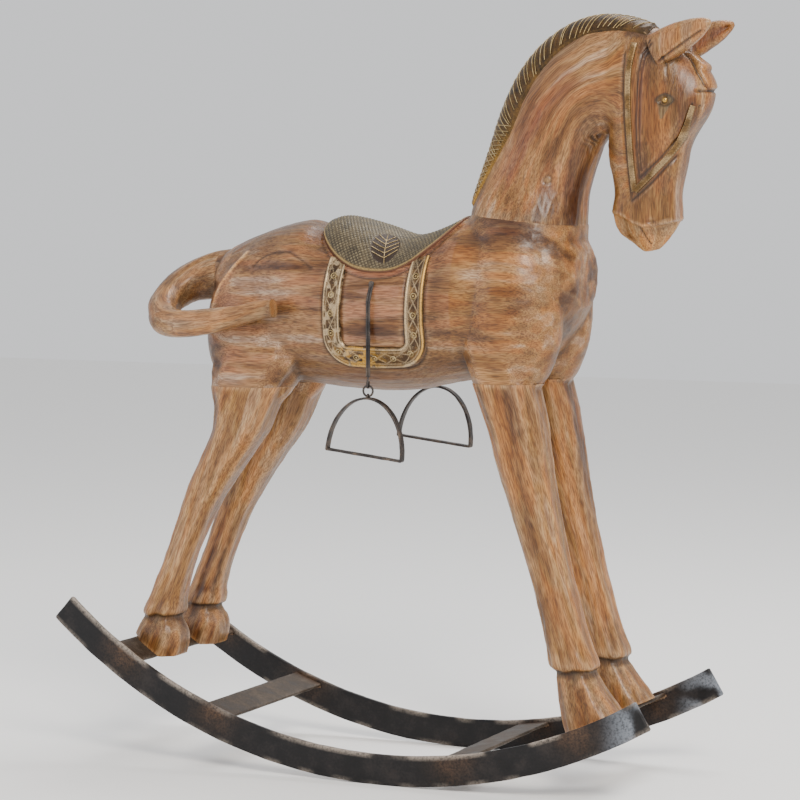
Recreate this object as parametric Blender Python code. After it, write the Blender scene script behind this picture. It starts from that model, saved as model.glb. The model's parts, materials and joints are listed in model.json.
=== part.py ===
"""Carved wooden rocking horse with brass-clad tack, standing on two curved iron runners.

Metres, +Z up. The horse faces +X and its left side is +Y. The origin is on the
floor, under the middle of the whole object. Positions in the tables below are
measured from the lowest point of the runners, and the empty "horse_frame"
carries them to the origin.
"""
import math

import bmesh
import bpy
from mathutils import Matrix, Vector
from mathutils.bvhtree import BVHTree

# Runners and the bars between them
RUNNER_RADIUS = 0.659
RUNNER_HEIGHT = 0.036
RUNNER_THICKNESS = 0.006
RUNNER_SPREAD = 0.257
RUNNER_REAR_DEG = 42.2
RUNNER_FRONT_DEG = 30.6
RUNNER_STEP_DEG = 2.6
REST_FLAT = 0.060
BAR_WIDTH = 0.038
BAR_THICKNESS = 0.004
BAR_DROP = 0.0035
BAR_ANGLES_DEG = {
    "crossbar_rear": -33.2,
    "crossbar_rear_middle": -20.5,
    "crossbar_front_middle": 8.4,
    "crossbar_front": 23.0,
}
JOINT_GAP = 0.0003

# Torso: position along the back, top, underside, half width
BARREL_ROWS = (
    (-0.266, 0.610, 0.506, 0.044),
    (-0.252, 0.625, 0.486, 0.062),
    (-0.215, 0.641, 0.468, 0.077),
    (-0.180, 0.652, 0.461, 0.083),
    (-0.145, 0.658, 0.461, 0.087),
    (-0.115, 0.647, 0.458, 0.090),
    (-0.050, 0.636, 0.455, 0.094),
    (0.000, 0.635, 0.458, 0.095),
    (0.040, 0.649, 0.466, 0.093),
    (0.075, 0.666, 0.472, 0.090),
    (0.120, 0.668, 0.478, 0.084),
    (0.160, 0.664, 0.496, 0.077),
    (0.188, 0.653, 0.530, 0.061),
    (0.206, 0.630, 0.560, 0.038),
)
# Muscle masses on both sides: centre and half sizes along X, Y, Z
SHOULDER_CENTRE = (0.130, 0.046, 0.555)
SHOULDER_SIZE = (0.064, 0.047, 0.108)
HAUNCH_CENTRE = (-0.203, 0.044, 0.524)
HAUNCH_SIZE = (0.066, 0.045, 0.096)

# Neck and head: outer line X, Z, inner line X, Z, half width, from the chest to the lips
NECK_ROWS = (
    (0.075, 0.600, 0.193, 0.560, 0.080),
    (0.064, 0.640, 0.199, 0.605, 0.076),
    (0.068, 0.673, 0.202, 0.655, 0.066),
    (0.077, 0.706, 0.205, 0.688, 0.053),
    (0.091, 0.748, 0.212, 0.713, 0.045),
    (0.104, 0.788, 0.219, 0.731, 0.041),
    (0.127, 0.834, 0.226, 0.748, 0.038),
    (0.162, 0.871, 0.232, 0.756, 0.037),
    (0.206, 0.893, 0.236, 0.760, 0.036),
    (0.252, 0.895, 0.238, 0.762, 0.035),
    (0.300, 0.879, 0.238, 0.758, 0.036),
    (0.335, 0.852, 0.236, 0.750, 0.037),
    (0.359, 0.820, 0.236, 0.738, 0.037),
    (0.356, 0.790, 0.238, 0.724, 0.036),
    (0.334, 0.755, 0.243, 0.708, 0.033),
    (0.327, 0.724, 0.245, 0.690, 0.030),
    (0.321, 0.694, 0.242, 0.670, 0.028),
    (0.322, 0.664, 0.249, 0.648, 0.027),
    (0.311, 0.643, 0.265, 0.635, 0.023),
    (0.297, 0.628, 0.279, 0.624, 0.013),
)
EAR_ROOT = (0.298, 0.030, 0.855)
EAR_TIP = (0.371, 0.041, 0.888)
EAR_ROWS = (
    (0.00, 0.019, 0.011),
    (0.35, 0.019, 0.011),
    (0.70, 0.014, 0.009),
    (0.90, 0.008, 0.006),
    (1.00, 0.003, 0.003),
)
FORELOCK_START = (0.290, 0.876)
FORELOCK_END = (0.350, 0.832)
FORELOCK_HALF_WIDTH = 0.013
FORELOCK_HALF_HEIGHT = 0.007

# Legs: share of the way up, sideways bow, half depth, half width
LEG_SPREAD = 0.052
FRONT_HIP = (0.128, 0.472)
FRONT_FOOT_SLIDE = -0.004
FRONT_LEG_ROWS = (
    (-0.06, 0.004, 0.039, 0.030),
    (0.00, 0.001, 0.037, 0.030),
    (0.07, -0.004, 0.030, 0.027),
    (0.135, -0.008, 0.023, 0.022),
    (0.15, -0.008, 0.0225, 0.0215),
    (0.165, -0.008, 0.026, 0.0245),
    (0.20, -0.008, 0.026, 0.0245),
    (0.30, -0.008, 0.0235, 0.023),
    (0.50, -0.0065, 0.0245, 0.024),
    (0.70, -0.005, 0.029, 0.028),
    (0.88, -0.001, 0.034, 0.032),
    (1.00, -0.001, 0.036, 0.034),
    (1.12, -0.003, 0.035, 0.033),
    (1.22, -0.003, 0.022, 0.020),
)
HIND_HIP = (-0.207, 0.458)
HIND_FOOT_SLIDE = 0.006
HIND_LEG_ROWS = (
    (-0.08, 0.000, 0.034, 0.029),
    (0.00, 0.001, 0.032, 0.028),
    (0.06, -0.003, 0.030, 0.027),
    (0.105, -0.009, 0.0225, 0.0215),
    (0.12, -0.010, 0.0220, 0.0210),
    (0.135, -0.010, 0.0235, 0.0230),
    (0.21, -0.013, 0.0205, 0.0210),
    (0.31, -0.014, 0.0185, 0.0195),
    (0.42, -0.014, 0.0190, 0.0200),
    (0.53, -0.012, 0.0210, 0.0215),
    (0.63, -0.008, 0.0250, 0.0240),
    (0.73, -0.001, 0.0285, 0.0265),
    (0.83, 0.006, 0.0320, 0.0295),
    (0.93, 0.002, 0.0378, 0.0325),
    (1.00, -0.003, 0.0455, 0.0345),
    (1.12, -0.002, 0.0540, 0.0340),
    (1.24, -0.002, 0.0300, 0.0200),
)

# Tail: centre line and radius, from inside the rump round to the blunt end
TAIL_ROWS = (
    (-0.225, 0.000, 0.585, 0.034),
    (-0.258, 0.000, 0.590, 0.030),
    (-0.287, -0.006, 0.587, 0.0265),
    (-0.311, -0.022, 0.578, 0.0215),
    (-0.323, -0.046, 0.563, 0.0180),
    (-0.320, -0.072, 0.548, 0.0175),
    (-0.304, -0.093, 0.537, 0.0165),
    (-0.276, -0.105, 0.534, 0.0155),
    (-0.238, -0.109, 0.538, 0.0142),
    (-0.200, -0.110, 0.545, 0.0120),
    (-0.168, -0.109, 0.553, 0.0100),
    (-0.150, -0.108, 0.555, 0.0090),
)
TAIL_JOINT_X = -0.264
TAIL_ROOT_DEPTH = 0.07
TAIL_ROOT_HALF_WIDTH = 0.06

# Seams between the carved pieces
NECK_SEAM = ((0.030, 0.672), (0.222, 0.653))
FRONT_LEG_SEAM_Z = 0.472
HIND_LEG_SEAM_Z = 0.458
LEG_BELOW_TORSO = 0.035
FRONT_LEG_REGION_X = (0.082, 0.240)
HIND_LEG_REGION_X = (-0.300, -0.140)
HEAD_REGION_CHIN_Z = 0.60
HEAD_REGION_BACK = 0.05
SOLE_REACH = 0.070
HIND_TOE_DROP = 0.009

# Saddle seat: position, reach down each side in degrees, pad height on the ridge
BACK_AXIS_Z = 0.555
SEAT_ROWS = (
    (-0.124, 26.0, 0.006),
    (-0.108, 40.0, 0.018),
    (-0.088, 52.0, 0.021),
    (-0.050, 65.0, 0.017),
    (-0.015, 66.0, 0.0085),
    (0.020, 56.0, 0.0070),
    (0.050, 40.0, 0.0060),
    (0.066, 24.0, 0.004),
)
SEAT_RIM_PROUD = 0.0045
INLAY_DEPTH = 0.003
CUT_OVER = 0.014

# Blanket border: a U of sheet metal on each flank
BORDER_REAR_X = -0.081
BORDER_FRONT_X = 0.027
BORDER_TOP_Z = 0.622
BORDER_BOTTOM_Z = 0.499
BORDER_CORNER_RADIUS = 0.018
BORDER_WIDTH = 0.024
BORDER_PROUD = 0.003
FLANK_RADIUS = 0.102

# Mane and bridle
MANE_FIRST_ROW = 2.15
MANE_LAST_ROW = 9.8
MANE_REACH_DEG = ((0.0, 33.0), (0.35, 46.0), (0.8, 46.0), (1.0, 32.0))
MANE_PROUD = 0.0035
MANE_AXIS_DEPTH = 0.060
CHEEK_STRAP = ((0.283, 0.852), (0.279, 0.800), (0.271, 0.730), (0.268, 0.682))
NOSE_STRAP = ((0.268, 0.682), (0.304, 0.738), (0.342, 0.800))
BRIDLE_WIDTH = 0.013
BRIDLE_PROUD = 0.0022
BRIDLE_DEPTH = 0.0020
EYE_PLACE = (0.314, 0.798)
EYE_TACK_RADIUS = 0.0030

# Stirrups and what they hang from
STIRRUP_X = -0.029
STIRRUP_Y = 0.100
STIRRUP_SLIDE = 0.0030
STIRRUP_TOP_Z = 0.453
STIRRUP_WIDTH = 0.100
STIRRUP_HEIGHT = 0.070
STIRRUP_TILT_DEG = 6.5
STIRRUP_STRIP_WIDTH = 0.010
STIRRUP_STRIP_THICKNESS = 0.0026
STRAP_TOP_Z = 0.586
STRAP_BEND_Z = 0.566
STRAP_BOTTOM_Z = 0.477
STRAP_WIDTH = 0.0055
STRAP_THICKNESS = 0.0016
STRAP_CLEARANCE = 0.0022
RING_RADIUS = 0.0062
RING_WIRE = 0.0012
HOOK_WIRE = 0.0011

# Reach of the planes that part the pieces, beyond the form
FAR = 1.2

# Mesh fineness
FORM_VOXEL = 0.0038
FORM_SMOOTHING = 3
FORM_TRIANGLES = 2600

RUNNER_CENTRE_Z = RUNNER_RADIUS * math.cos(math.asin(REST_FLAT / 2 / RUNNER_RADIUS))
RUNNER_INNER_RADIUS = RUNNER_RADIUS - RUNNER_HEIGHT
RUNNER_MIDDLE_Y = (RUNNER_SPREAD - RUNNER_THICKNESS) / 2
REAR_END_X = -RUNNER_RADIUS * math.sin(math.radians(RUNNER_REAR_DEG))
FRONT_END_X = EAR_TIP[0] + 0.002
MIDDLE_X = (REAR_END_X + FRONT_END_X) / 2


def clear_scene():
    """Remove whatever the file holds."""
    for item in list(bpy.data.objects):
        bpy.data.objects.remove(item, do_unlink=True)


def material(name, colour, roughness, metallic):
    """Return one plain material."""
    made = bpy.data.materials.new(name)
    made.use_nodes = True
    shader = made.node_tree.nodes["Principled BSDF"]
    shader.inputs["Base Color"].default_value = (*colour, 1.0)
    shader.inputs["Roughness"].default_value = roughness
    shader.inputs["Metallic"].default_value = metallic
    made.diffuse_color = (*colour, 1.0)
    return made


def new_object(name, bm):
    """Turn a bmesh into an object with outward faces."""
    bmesh.ops.recalc_face_normals(bm, faces=bm.faces)
    mesh = bpy.data.meshes.new(name)
    bm.to_mesh(mesh)
    bm.free()
    made = bpy.data.objects.new(name, mesh)
    bpy.context.collection.objects.link(made)
    return made


def settle(item):
    """Apply an object's modifiers."""
    bpy.context.view_layer.update()
    graph = bpy.context.evaluated_depsgraph_get()
    mesh = bpy.data.meshes.new_from_object(item.evaluated_get(graph))
    item.modifiers.clear()
    item.data = mesh


def inflated(item, gap=JOINT_GAP):
    """Move a solid's surface outwards by a gap, for use as a cutter."""
    bm = bmesh.new()
    bm.from_mesh(item.data)
    bm.normal_update()
    moves = [vert.normal * gap * min(2.0, vert.calc_shell_factor()) for vert in bm.verts]
    for vert, move in zip(bm.verts, moves):
        vert.co += move
    bm.to_mesh(item.data)
    bm.free()
    return item


def combine(target, others, operation):
    """Cut, join or keep the common part with other solids, which are used up."""
    for other in others:
        step = target.modifiers.new("solid", "BOOLEAN")
        step.operation = operation
        step.solver = "EXACT"
        step.object = other
    settle(target)
    for other in others:
        bpy.data.objects.remove(other, do_unlink=True)


def copy_of(item, name):
    """Copy an object with its own mesh."""
    made = bpy.data.objects.new(name, item.data.copy())
    bpy.context.collection.objects.link(made)
    return made


def between(rows, steps):
    """Read a table as a smooth curve, with steps rows for each interval."""
    read = []
    last = len(rows) - 1
    for index in range(last):
        for step in range(steps):
            read.append(row_at(rows, index + step / steps))
    read.append(tuple(rows[last]))
    return read


def row_at(rows, place):
    """Read a table at a fractional row, on a Catmull-Rom curve."""
    last = len(rows) - 1
    index = min(int(place), last - 1)
    t = place - index
    before, start, end, after = (rows[min(max(index + k, 0), last)] for k in (-1, 0, 1, 2))
    return tuple(
        0.5 * (2 * b + (c - a) * t + (2 * a - 5 * b + 4 * c - d) * t * t + (3 * b - a - 3 * c + d) * t ** 3)
        for a, b, c, d in zip(before, start, end, after)
    )


def value_at(rows, x):
    """Read the other columns of a table at a position in its first column."""
    for low, high in zip(rows, rows[1:]):
        if x <= high[0]:
            share = max(0.0, (x - low[0]) / (high[0] - low[0]))
            return tuple(a + (b - a) * share for a, b in zip(low[1:], high[1:]))
    return tuple(rows[-1][1:])


def ring(centre, side, up, power, count):
    """Return a rounded-square section: side and up are half-axes as vectors."""
    points = []
    for index in range(count):
        angle = 2 * math.pi * (index + 0.5) / count
        c = math.cos(angle)
        s = math.sin(angle)
        across = math.copysign(abs(c) ** (2 / power), c)
        high = math.copysign(abs(s) ** (2 / power), s)
        points.append(centre + side * across + up * high)
    return points


def loft(name, rings):
    """Skin a row of sections and close both ends."""
    bm = bmesh.new()
    loops = [[bm.verts.new(point) for point in section] for section in rings]
    count = len(loops[0])
    for low, high in zip(loops, loops[1:]):
        for index in range(count):
            after = (index + 1) % count
            bm.faces.new((low[index], low[after], high[after], high[index]))
    for loop in (loops[0], loops[-1]):
        middle = bm.verts.new(sum((v.co for v in loop), Vector()) / count)
        for index in range(count):
            bm.faces.new((loop[index], loop[(index + 1) % count], middle))
    return new_object(name, bm)


def prism(name, outline, low_y, high_y):
    """Extrude an outline in X and Z from low_y to high_y."""
    bm = bmesh.new()
    near = [bm.verts.new((x, low_y, z)) for x, z in outline]
    far = [bm.verts.new((x, high_y, z)) for x, z in outline]
    bm.faces.new(near)
    bm.faces.new(far)
    for index in range(len(outline)):
        after = (index + 1) % len(outline)
        bm.faces.new((near[index], near[after], far[after], far[index]))
    return new_object(name, bm)


def grown(outline, gap):
    """Offset an outline outwards."""
    turns = sum(Vector(a).cross(Vector(b)) for a, b in zip(outline, outline[1:] + outline[:1]))
    outwards = 1 if turns > 0 else -1
    lines = []
    for index, point in enumerate(outline):
        start = Vector(point)
        run = (Vector(outline[(index + 1) % len(outline)]) - start).normalized()
        normal = Vector((run.y, -run.x)) * outwards
        lines.append((start + normal * gap, run))
    corners = []
    for index in range(len(lines)):
        start, run = lines[index - 1]
        other, second = lines[index]
        share = (other - start).cross(second) / run.cross(second)
        corners.append(tuple(start + run * share))
    return corners


def shell(name, outer, inner):
    """Close two matching grids of points into one solid."""
    bm = bmesh.new()
    top = [[bm.verts.new(p) for p in row] for row in outer]
    base = [[bm.verts.new(p) for p in row] for row in inner]
    for grid in (top, base):
        for low, high in zip(grid, grid[1:]):
            for a, b, c, d in zip(low, low[1:], high[1:], high):
                bm.faces.new((a, b, c, d))
    edges = (
        (top[0], base[0]),
        (top[-1], base[-1]),
        ([row[0] for row in top], [row[0] for row in base]),
        ([row[-1] for row in top], [row[-1] for row in base]),
    )
    for above, below in edges:
        for index in range(len(above) - 1):
            bm.faces.new((above[index], above[index + 1], below[index + 1], below[index]))
    bmesh.ops.triangulate(bm, faces=bm.faces, quad_method="FIXED")
    return new_object(name, bm)


def muscle(name, centre, size, side):
    """Return a rounded muscle mass on one side."""
    bm = bmesh.new()
    bmesh.ops.create_uvsphere(bm, u_segments=24, v_segments=14, radius=1.0)
    bmesh.ops.scale(bm, vec=size, verts=bm.verts)
    bmesh.ops.translate(bm, vec=(centre[0], side * centre[1], centre[2]), verts=bm.verts)
    return new_object(name, bm)


def on_runner(angle_deg, radius):
    """Return the X, Z of a point at an angle from the lowest point of the runners."""
    angle = math.radians(angle_deg)
    return radius * math.sin(angle), RUNNER_CENTRE_Z - radius * math.cos(angle)


def bar_seat(name, slide=0.0, lift=0.0):
    """Return the middle of a bar's top face, moved along its slope and off its face."""
    angle = math.radians(BAR_ANGLES_DEG[name])
    x, z = on_runner(BAR_ANGLES_DEG[name], RUNNER_INNER_RADIUS + BAR_DROP)
    return (
        x + slide * math.cos(angle) - lift * math.sin(angle),
        z + slide * math.sin(angle) + lift * math.cos(angle),
    )


def barrel():
    """Return the trunk of the horse."""
    rings = []
    for x, top, bottom, half_width in between(BARREL_ROWS, 2):
        centre = Vector((x, 0, (top + bottom) / 2))
        rings.append(ring(centre, Vector((0, half_width, 0)), Vector((0, 0, (top - bottom) / 2)), 2.2, 28))
    return loft("barrel", rings)


def neck_section(row, count=24):
    """Return one section of the neck or head."""
    outer = Vector((row[0], 0, row[1]))
    inner = Vector((row[2], 0, row[3]))
    return ring((outer + inner) / 2, Vector((0, row[4], 0)), (outer - inner) / 2, 2.25, count)


def leg(name, rows, hip, foot, side):
    """Return one whole leg with its hoof, as sections stacked between foot and hip."""
    rings = []
    for share, bow, half_depth, half_width in rows:
        x = foot[0] + (hip[0] - foot[0]) * share + bow
        z = foot[1] + (hip[1] - foot[1]) * share
        centre = Vector((x, side * LEG_SPREAD, z))
        rings.append(ring(centre, Vector((0, half_width, 0)), Vector((half_depth, 0, 0)), 2.5, 20))
    return loft(name, rings)


def ear(name, side):
    """Return one leaf-shaped ear that points forward and up."""
    root = Vector((EAR_ROOT[0], side * EAR_ROOT[1], EAR_ROOT[2]))
    tip = Vector((EAR_TIP[0], side * EAR_TIP[1], EAR_TIP[2]))
    run = (tip - root).normalized()
    high = Vector((-run.z, 0, run.x)).normalized()
    flat = run.cross(high)
    rings = []
    for share, half_height, half_width in between(EAR_ROWS, 2):
        rings.append(ring(root.lerp(tip, share), flat * half_width, high * half_height, 2.0, 12))
    return loft(name, rings)


def forelock():
    """Return the raised lock between the ears, with its square-cut end."""
    start = Vector((FORELOCK_START[0], 0, FORELOCK_START[1]))
    end = Vector((FORELOCK_END[0], 0, FORELOCK_END[1]))
    run = (end - start).normalized()
    high = Vector((-run.z, 0, run.x)) * FORELOCK_HALF_HEIGHT
    side = Vector((0, FORELOCK_HALF_WIDTH, 0))
    return loft("forelock", [ring(start.lerp(end, share / 4), side, high, 4.0, 12) for share in range(5)])


def horse_form():
    """Blend all the carved masses into one form, as the carver's block would be."""
    front_foot = bar_seat("crossbar_front", FRONT_FOOT_SLIDE)
    hind_foot = bar_seat("crossbar_rear", HIND_FOOT_SLIDE)
    masses = [barrel(), loft("neck", [neck_section(row) for row in between(NECK_ROWS, 2)])]
    for side in (-1, 1):
        masses.append(muscle("shoulder", SHOULDER_CENTRE, SHOULDER_SIZE, side))
        masses.append(muscle("haunch", HAUNCH_CENTRE, HAUNCH_SIZE, side))
        masses.append(leg("front", FRONT_LEG_ROWS, FRONT_HIP, front_foot, side))
        masses.append(leg("hind", HIND_LEG_ROWS, HIND_HIP, hind_foot, side))
    bm = bmesh.new()
    for mass in masses:
        bm.from_mesh(mass.data)
        bpy.data.objects.remove(mass, do_unlink=True)
    mesh = bpy.data.meshes.new("form")
    bm.to_mesh(mesh)
    bm.free()
    form = bpy.data.objects.new("form", mesh)
    bpy.context.collection.objects.link(form)
    blend = form.modifiers.new("blend", "REMESH")
    blend.mode = "VOXEL"
    blend.voxel_size = FORM_VOXEL
    soften = form.modifiers.new("soften", "SMOOTH")
    soften.factor = 0.5
    soften.iterations = FORM_SMOOTHING
    settle(form)
    triangles = sum(len(face.vertices) - 2 for face in form.data.polygons)
    thin = form.modifiers.new("thin", "DECIMATE")
    thin.ratio = FORM_TRIANGLES / triangles
    settle(form)
    return form


def skin_of(item):
    """Return a search tree of an object's surface."""
    bm = bmesh.new()
    bm.from_mesh(item.data)
    tree = BVHTree.FromBMesh(bm)
    bm.free()
    return tree


def out_to_skin(tree, origin, direction):
    """Return the point where a line from inside the form meets its surface."""
    run = Vector(direction).normalized()
    hit = tree.ray_cast(Vector(origin), run)[0]
    return hit, run


def seat(name, tree, over=0.0):
    """Return the saddle seat, let into the back and padded on the ridge."""
    outer = []
    inner = []
    first = SEAT_ROWS[0][0]
    last = SEAT_ROWS[-1][0]
    for step in range(13):
        share = step / 12
        x = first + (last - first) * share
        reach, ridge = value_at(SEAT_ROWS, x)
        rows = ([], [])
        for turn in range(-5, 6):
            part = turn / 5
            angle = math.radians(reach * part)
            skin, run = out_to_skin(tree, (x, 0, BACK_AXIS_Z), (0, math.sin(angle), math.cos(angle)))
            proud = SEAT_RIM_PROUD + (ridge - SEAT_RIM_PROUD) * (1 - part * part)
            rows[0].append(skin + run * (proud + over))
            rows[1].append(skin - run * INLAY_DEPTH)
        outer.append(rows[0])
        inner.append(rows[1])
    return shell(name, outer, inner)


def flank_ray(x, z, side):
    """Return origin and direction of the line that meets the flank about height z."""
    rise = max(-0.98, min(0.98, (z - BACK_AXIS_Z) / FLANK_RADIUS))
    return (x, 0, BACK_AXIS_Z), (0, side * math.sqrt(1 - rise * rise), rise)


def border_path():
    """Return the middle line of the U with its rounded lower corners, in X and Z."""
    r = BORDER_CORNER_RADIUS
    points = []
    for step in range(4):
        points.append((BORDER_REAR_X, BORDER_TOP_Z + (BORDER_BOTTOM_Z + r - BORDER_TOP_Z) * step / 4))
    for step in range(5):
        angle = math.pi + math.pi / 2 * step / 4
        points.append((BORDER_REAR_X + r + r * math.cos(angle), BORDER_BOTTOM_Z + r + r * math.sin(angle)))
    middle = (BORDER_REAR_X + BORDER_FRONT_X) / 2
    for step in range(-1, 2):
        points.append((middle + (BORDER_FRONT_X - BORDER_REAR_X - 2 * r) * step / 4, BORDER_BOTTOM_Z))
    for step in range(5):
        angle = -math.pi / 2 + math.pi / 2 * step / 4
        points.append((BORDER_FRONT_X - r + r * math.cos(angle), BORDER_BOTTOM_Z + r + r * math.sin(angle)))
    for step in range(1, 5):
        points.append((BORDER_FRONT_X, BORDER_BOTTOM_Z + r + (BORDER_TOP_Z - BORDER_BOTTOM_Z - r) * step / 4))
    return points


def line_points(low, high, count):
    """Return points along a line, without its last."""
    return [tuple(Vector(low).lerp(Vector(high), step / count)) for step in range(count)]


def strip(name, path, rays, tree, width, proud, depth, over=0.0):
    """Return a flat strip let into the surface along a path in X and Z."""
    outer = []
    inner = []
    for index, point in enumerate(path):
        before = Vector(path[max(index - 1, 0)])
        after = Vector(path[min(index + 1, len(path) - 1)])
        here = Vector(point)
        run_in = (here - before).normalized() if index else (after - here).normalized()
        run_out = (after - here).normalized() if index < len(path) - 1 else run_in
        run = (run_in + run_out).normalized()
        stretch = 1 / max(0.5, run.dot(run_in))
        rows = ([], [])
        for step in (-1, 0, 1):
            spot = here + Vector((-run.y, run.x)) * (width / 2 * step * stretch)
            origin, direction = rays(spot.x, spot.y)
            skin, ray = out_to_skin(tree, origin, direction)
            rows[0].append(skin + ray * (proud + over))
            rows[1].append(skin - ray * depth)
        outer.append(rows[0])
        inner.append(rows[1])
    return shell(name, outer, inner)


def border(name, tree, side, over=0.0):
    """Return one flank's U of embossed sheet metal."""
    return strip(
        name, border_path(), lambda x, z: flank_ray(x, z, side), tree,
        BORDER_WIDTH, BORDER_PROUD, INLAY_DEPTH, over,
    )


def bridle(name, tree, side, over=0.0):
    """Return one cheek's two straps: down from the poll, and back up to the nose."""
    straps = []
    for points in (CHEEK_STRAP, NOSE_STRAP):
        path = []
        for low, high in zip(points, points[1:]):
            path += line_points(low, high, 2)
        path.append(points[-1])
        straps.append(strip(
            name, path, lambda x, z: ((x, 0, z), (0, side, 0)), tree,
            BRIDLE_WIDTH, BRIDLE_PROUD, BRIDLE_DEPTH, over,
        ))
    return straps


def mane(name, tree, over=0.0):
    """Return the metal-clad crest from the withers to the poll."""
    outer = []
    inner = []
    rows_count = 20
    span = MANE_LAST_ROW - MANE_FIRST_ROW
    for step in range(rows_count + 1):
        share = step / rows_count
        row = row_at(NECK_ROWS, MANE_FIRST_ROW + span * share)
        crest = Vector((row[0], 0, row[1]))
        throat = Vector((row[2], 0, row[3]))
        up = (crest - throat).normalized()
        depth = min((crest - throat).length / 2, MANE_AXIS_DEPTH)
        origin = crest - up * depth
        reach = value_at(MANE_REACH_DEG, share)[0]
        turn_row = ([], [])
        for turn in range(-3, 4):
            angle = math.radians(reach) * turn / 3
            direction = up * math.cos(angle) + Vector((0, 1, 0)) * math.sin(angle)
            skin, ray = out_to_skin(tree, origin, direction)
            turn_row[0].append(skin + ray * (MANE_PROUD + over))
            turn_row[1].append(skin - ray * INLAY_DEPTH)
        outer.append(turn_row[0])
        inner.append(turn_row[1])
    return shell(name, outer, inner)


def eye_tack(name, tree, side, gap=0.0):
    """Return the round-headed tack that is the eye."""
    skin, _ = out_to_skin(tree, (EYE_PLACE[0], 0, EYE_PLACE[1]), (0, side, 0))
    bm = bmesh.new()
    bmesh.ops.create_uvsphere(bm, u_segments=8, v_segments=6, radius=EYE_TACK_RADIUS + gap)
    bmesh.ops.translate(bm, vec=skin, verts=bm.verts)
    return new_object(name, bm)


def tail():
    """Return the tail, swept along its curl and cut square at the end."""
    rows = between(TAIL_ROWS, 2)
    rings = []
    for index, (x, y, z, radius) in enumerate(rows):
        before = Vector(rows[max(index - 1, 0)][:3])
        after = Vector(rows[min(index + 1, len(rows) - 1)][:3])
        run = (after - before).normalized()
        side = run.cross(Vector((0, 0, 1))).normalized()
        up = side.cross(run)
        rings.append(ring(Vector((x, y, z)), side * radius, up * radius * 1.06, 2.3, 12))
    return loft("tail", rings)


def runner_angles():
    """Return the facet corners along a runner, with a flat at the lowest point."""
    flat = math.degrees(math.asin(REST_FLAT / 2 / RUNNER_RADIUS))
    rear_count = round((RUNNER_REAR_DEG - flat) / RUNNER_STEP_DEG)
    front_count = round((RUNNER_FRONT_DEG - flat) / RUNNER_STEP_DEG)
    rear = []
    for step in range(rear_count + 1):
        rear.append(-RUNNER_REAR_DEG + (RUNNER_REAR_DEG - flat) * step / rear_count)
    front = []
    for step in range(front_count + 1):
        front.append(flat + (RUNNER_FRONT_DEG - flat) * step / front_count)
    return rear + front


def runner(name, side):
    """Return one curved flat-iron runner standing on edge."""
    angles = runner_angles()
    outline = [on_runner(angle, RUNNER_RADIUS) for angle in angles]
    outline += [on_runner(angle, RUNNER_INNER_RADIUS) for angle in reversed(angles)]
    bm = bmesh.new()
    count = len(angles)
    faces = []
    for across in (-RUNNER_THICKNESS / 2, RUNNER_THICKNESS / 2):
        y = side * RUNNER_MIDDLE_Y + across
        loop = [bm.verts.new((x, y, z)) for x, z in outline]
        faces.append(loop)
        for index in range(count - 1):
            other = 2 * count - 1 - index
            bm.faces.new((loop[index], loop[index + 1], loop[other - 1], loop[other]))
    near, far = faces
    for index in range(2 * count):
        after = (index + 1) % (2 * count)
        bm.faces.new((near[index], near[after], far[after], far[index]))
    return new_object(name, bm)


def crossbar(name):
    """Return one flat bar between the runners, a weld's gap short of them."""
    half = BAR_WIDTH / 2
    top_rear = bar_seat(name, -half, -JOINT_GAP)
    top_front = bar_seat(name, half, -JOINT_GAP)
    low_front = bar_seat(name, half, -JOINT_GAP - BAR_THICKNESS)
    low_rear = bar_seat(name, -half, -JOINT_GAP - BAR_THICKNESS)
    reach = RUNNER_MIDDLE_Y - RUNNER_THICKNESS / 2 - JOINT_GAP
    return prism(name, (top_rear, top_front, low_front, low_rear), -reach, reach)


def stirrup(name, side):
    """Return one D-shaped stirrup of bent strip, hanging front end down."""
    half = STIRRUP_WIDTH / 2
    thick = STIRRUP_STRIP_THICKNESS
    outer = []
    inner = []
    for step in range(17):
        angle = math.pi * step / 16
        outer.append(Vector((half * math.cos(angle), STIRRUP_HEIGHT * math.sin(angle))))
        rise = thick + (STIRRUP_HEIGHT - 2 * thick) * math.sin(angle)
        inner.append(Vector(((half - thick) * math.cos(angle), rise)))
    tilt = Matrix.Rotation(-math.radians(STIRRUP_TILT_DEG), 2)
    top = tilt @ Vector((0, STIRRUP_HEIGHT))
    shift = Vector((STIRRUP_X + STIRRUP_SLIDE, STIRRUP_TOP_Z)) - top
    bm = bmesh.new()
    loops = []
    for y in (side * STIRRUP_Y - STIRRUP_STRIP_WIDTH / 2, side * STIRRUP_Y + STIRRUP_STRIP_WIDTH / 2):
        pair = []
        for line in (outer, inner):
            placed = [tilt @ point + shift for point in line]
            pair.append([bm.verts.new((p.x, y, p.y)) for p in placed])
        loops.append(pair)
        count = len(outer)
        for index in range(count):
            after = (index + 1) % count
            bm.faces.new((pair[0][index], pair[0][after], pair[1][after], pair[1][index]))
    for line in (0, 1):
        near = loops[0][line]
        far = loops[1][line]
        for index in range(len(near)):
            after = (index + 1) % len(near)
            bm.faces.new((near[index], near[after], far[after], far[index]))
    return new_object(name, bm)


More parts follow.
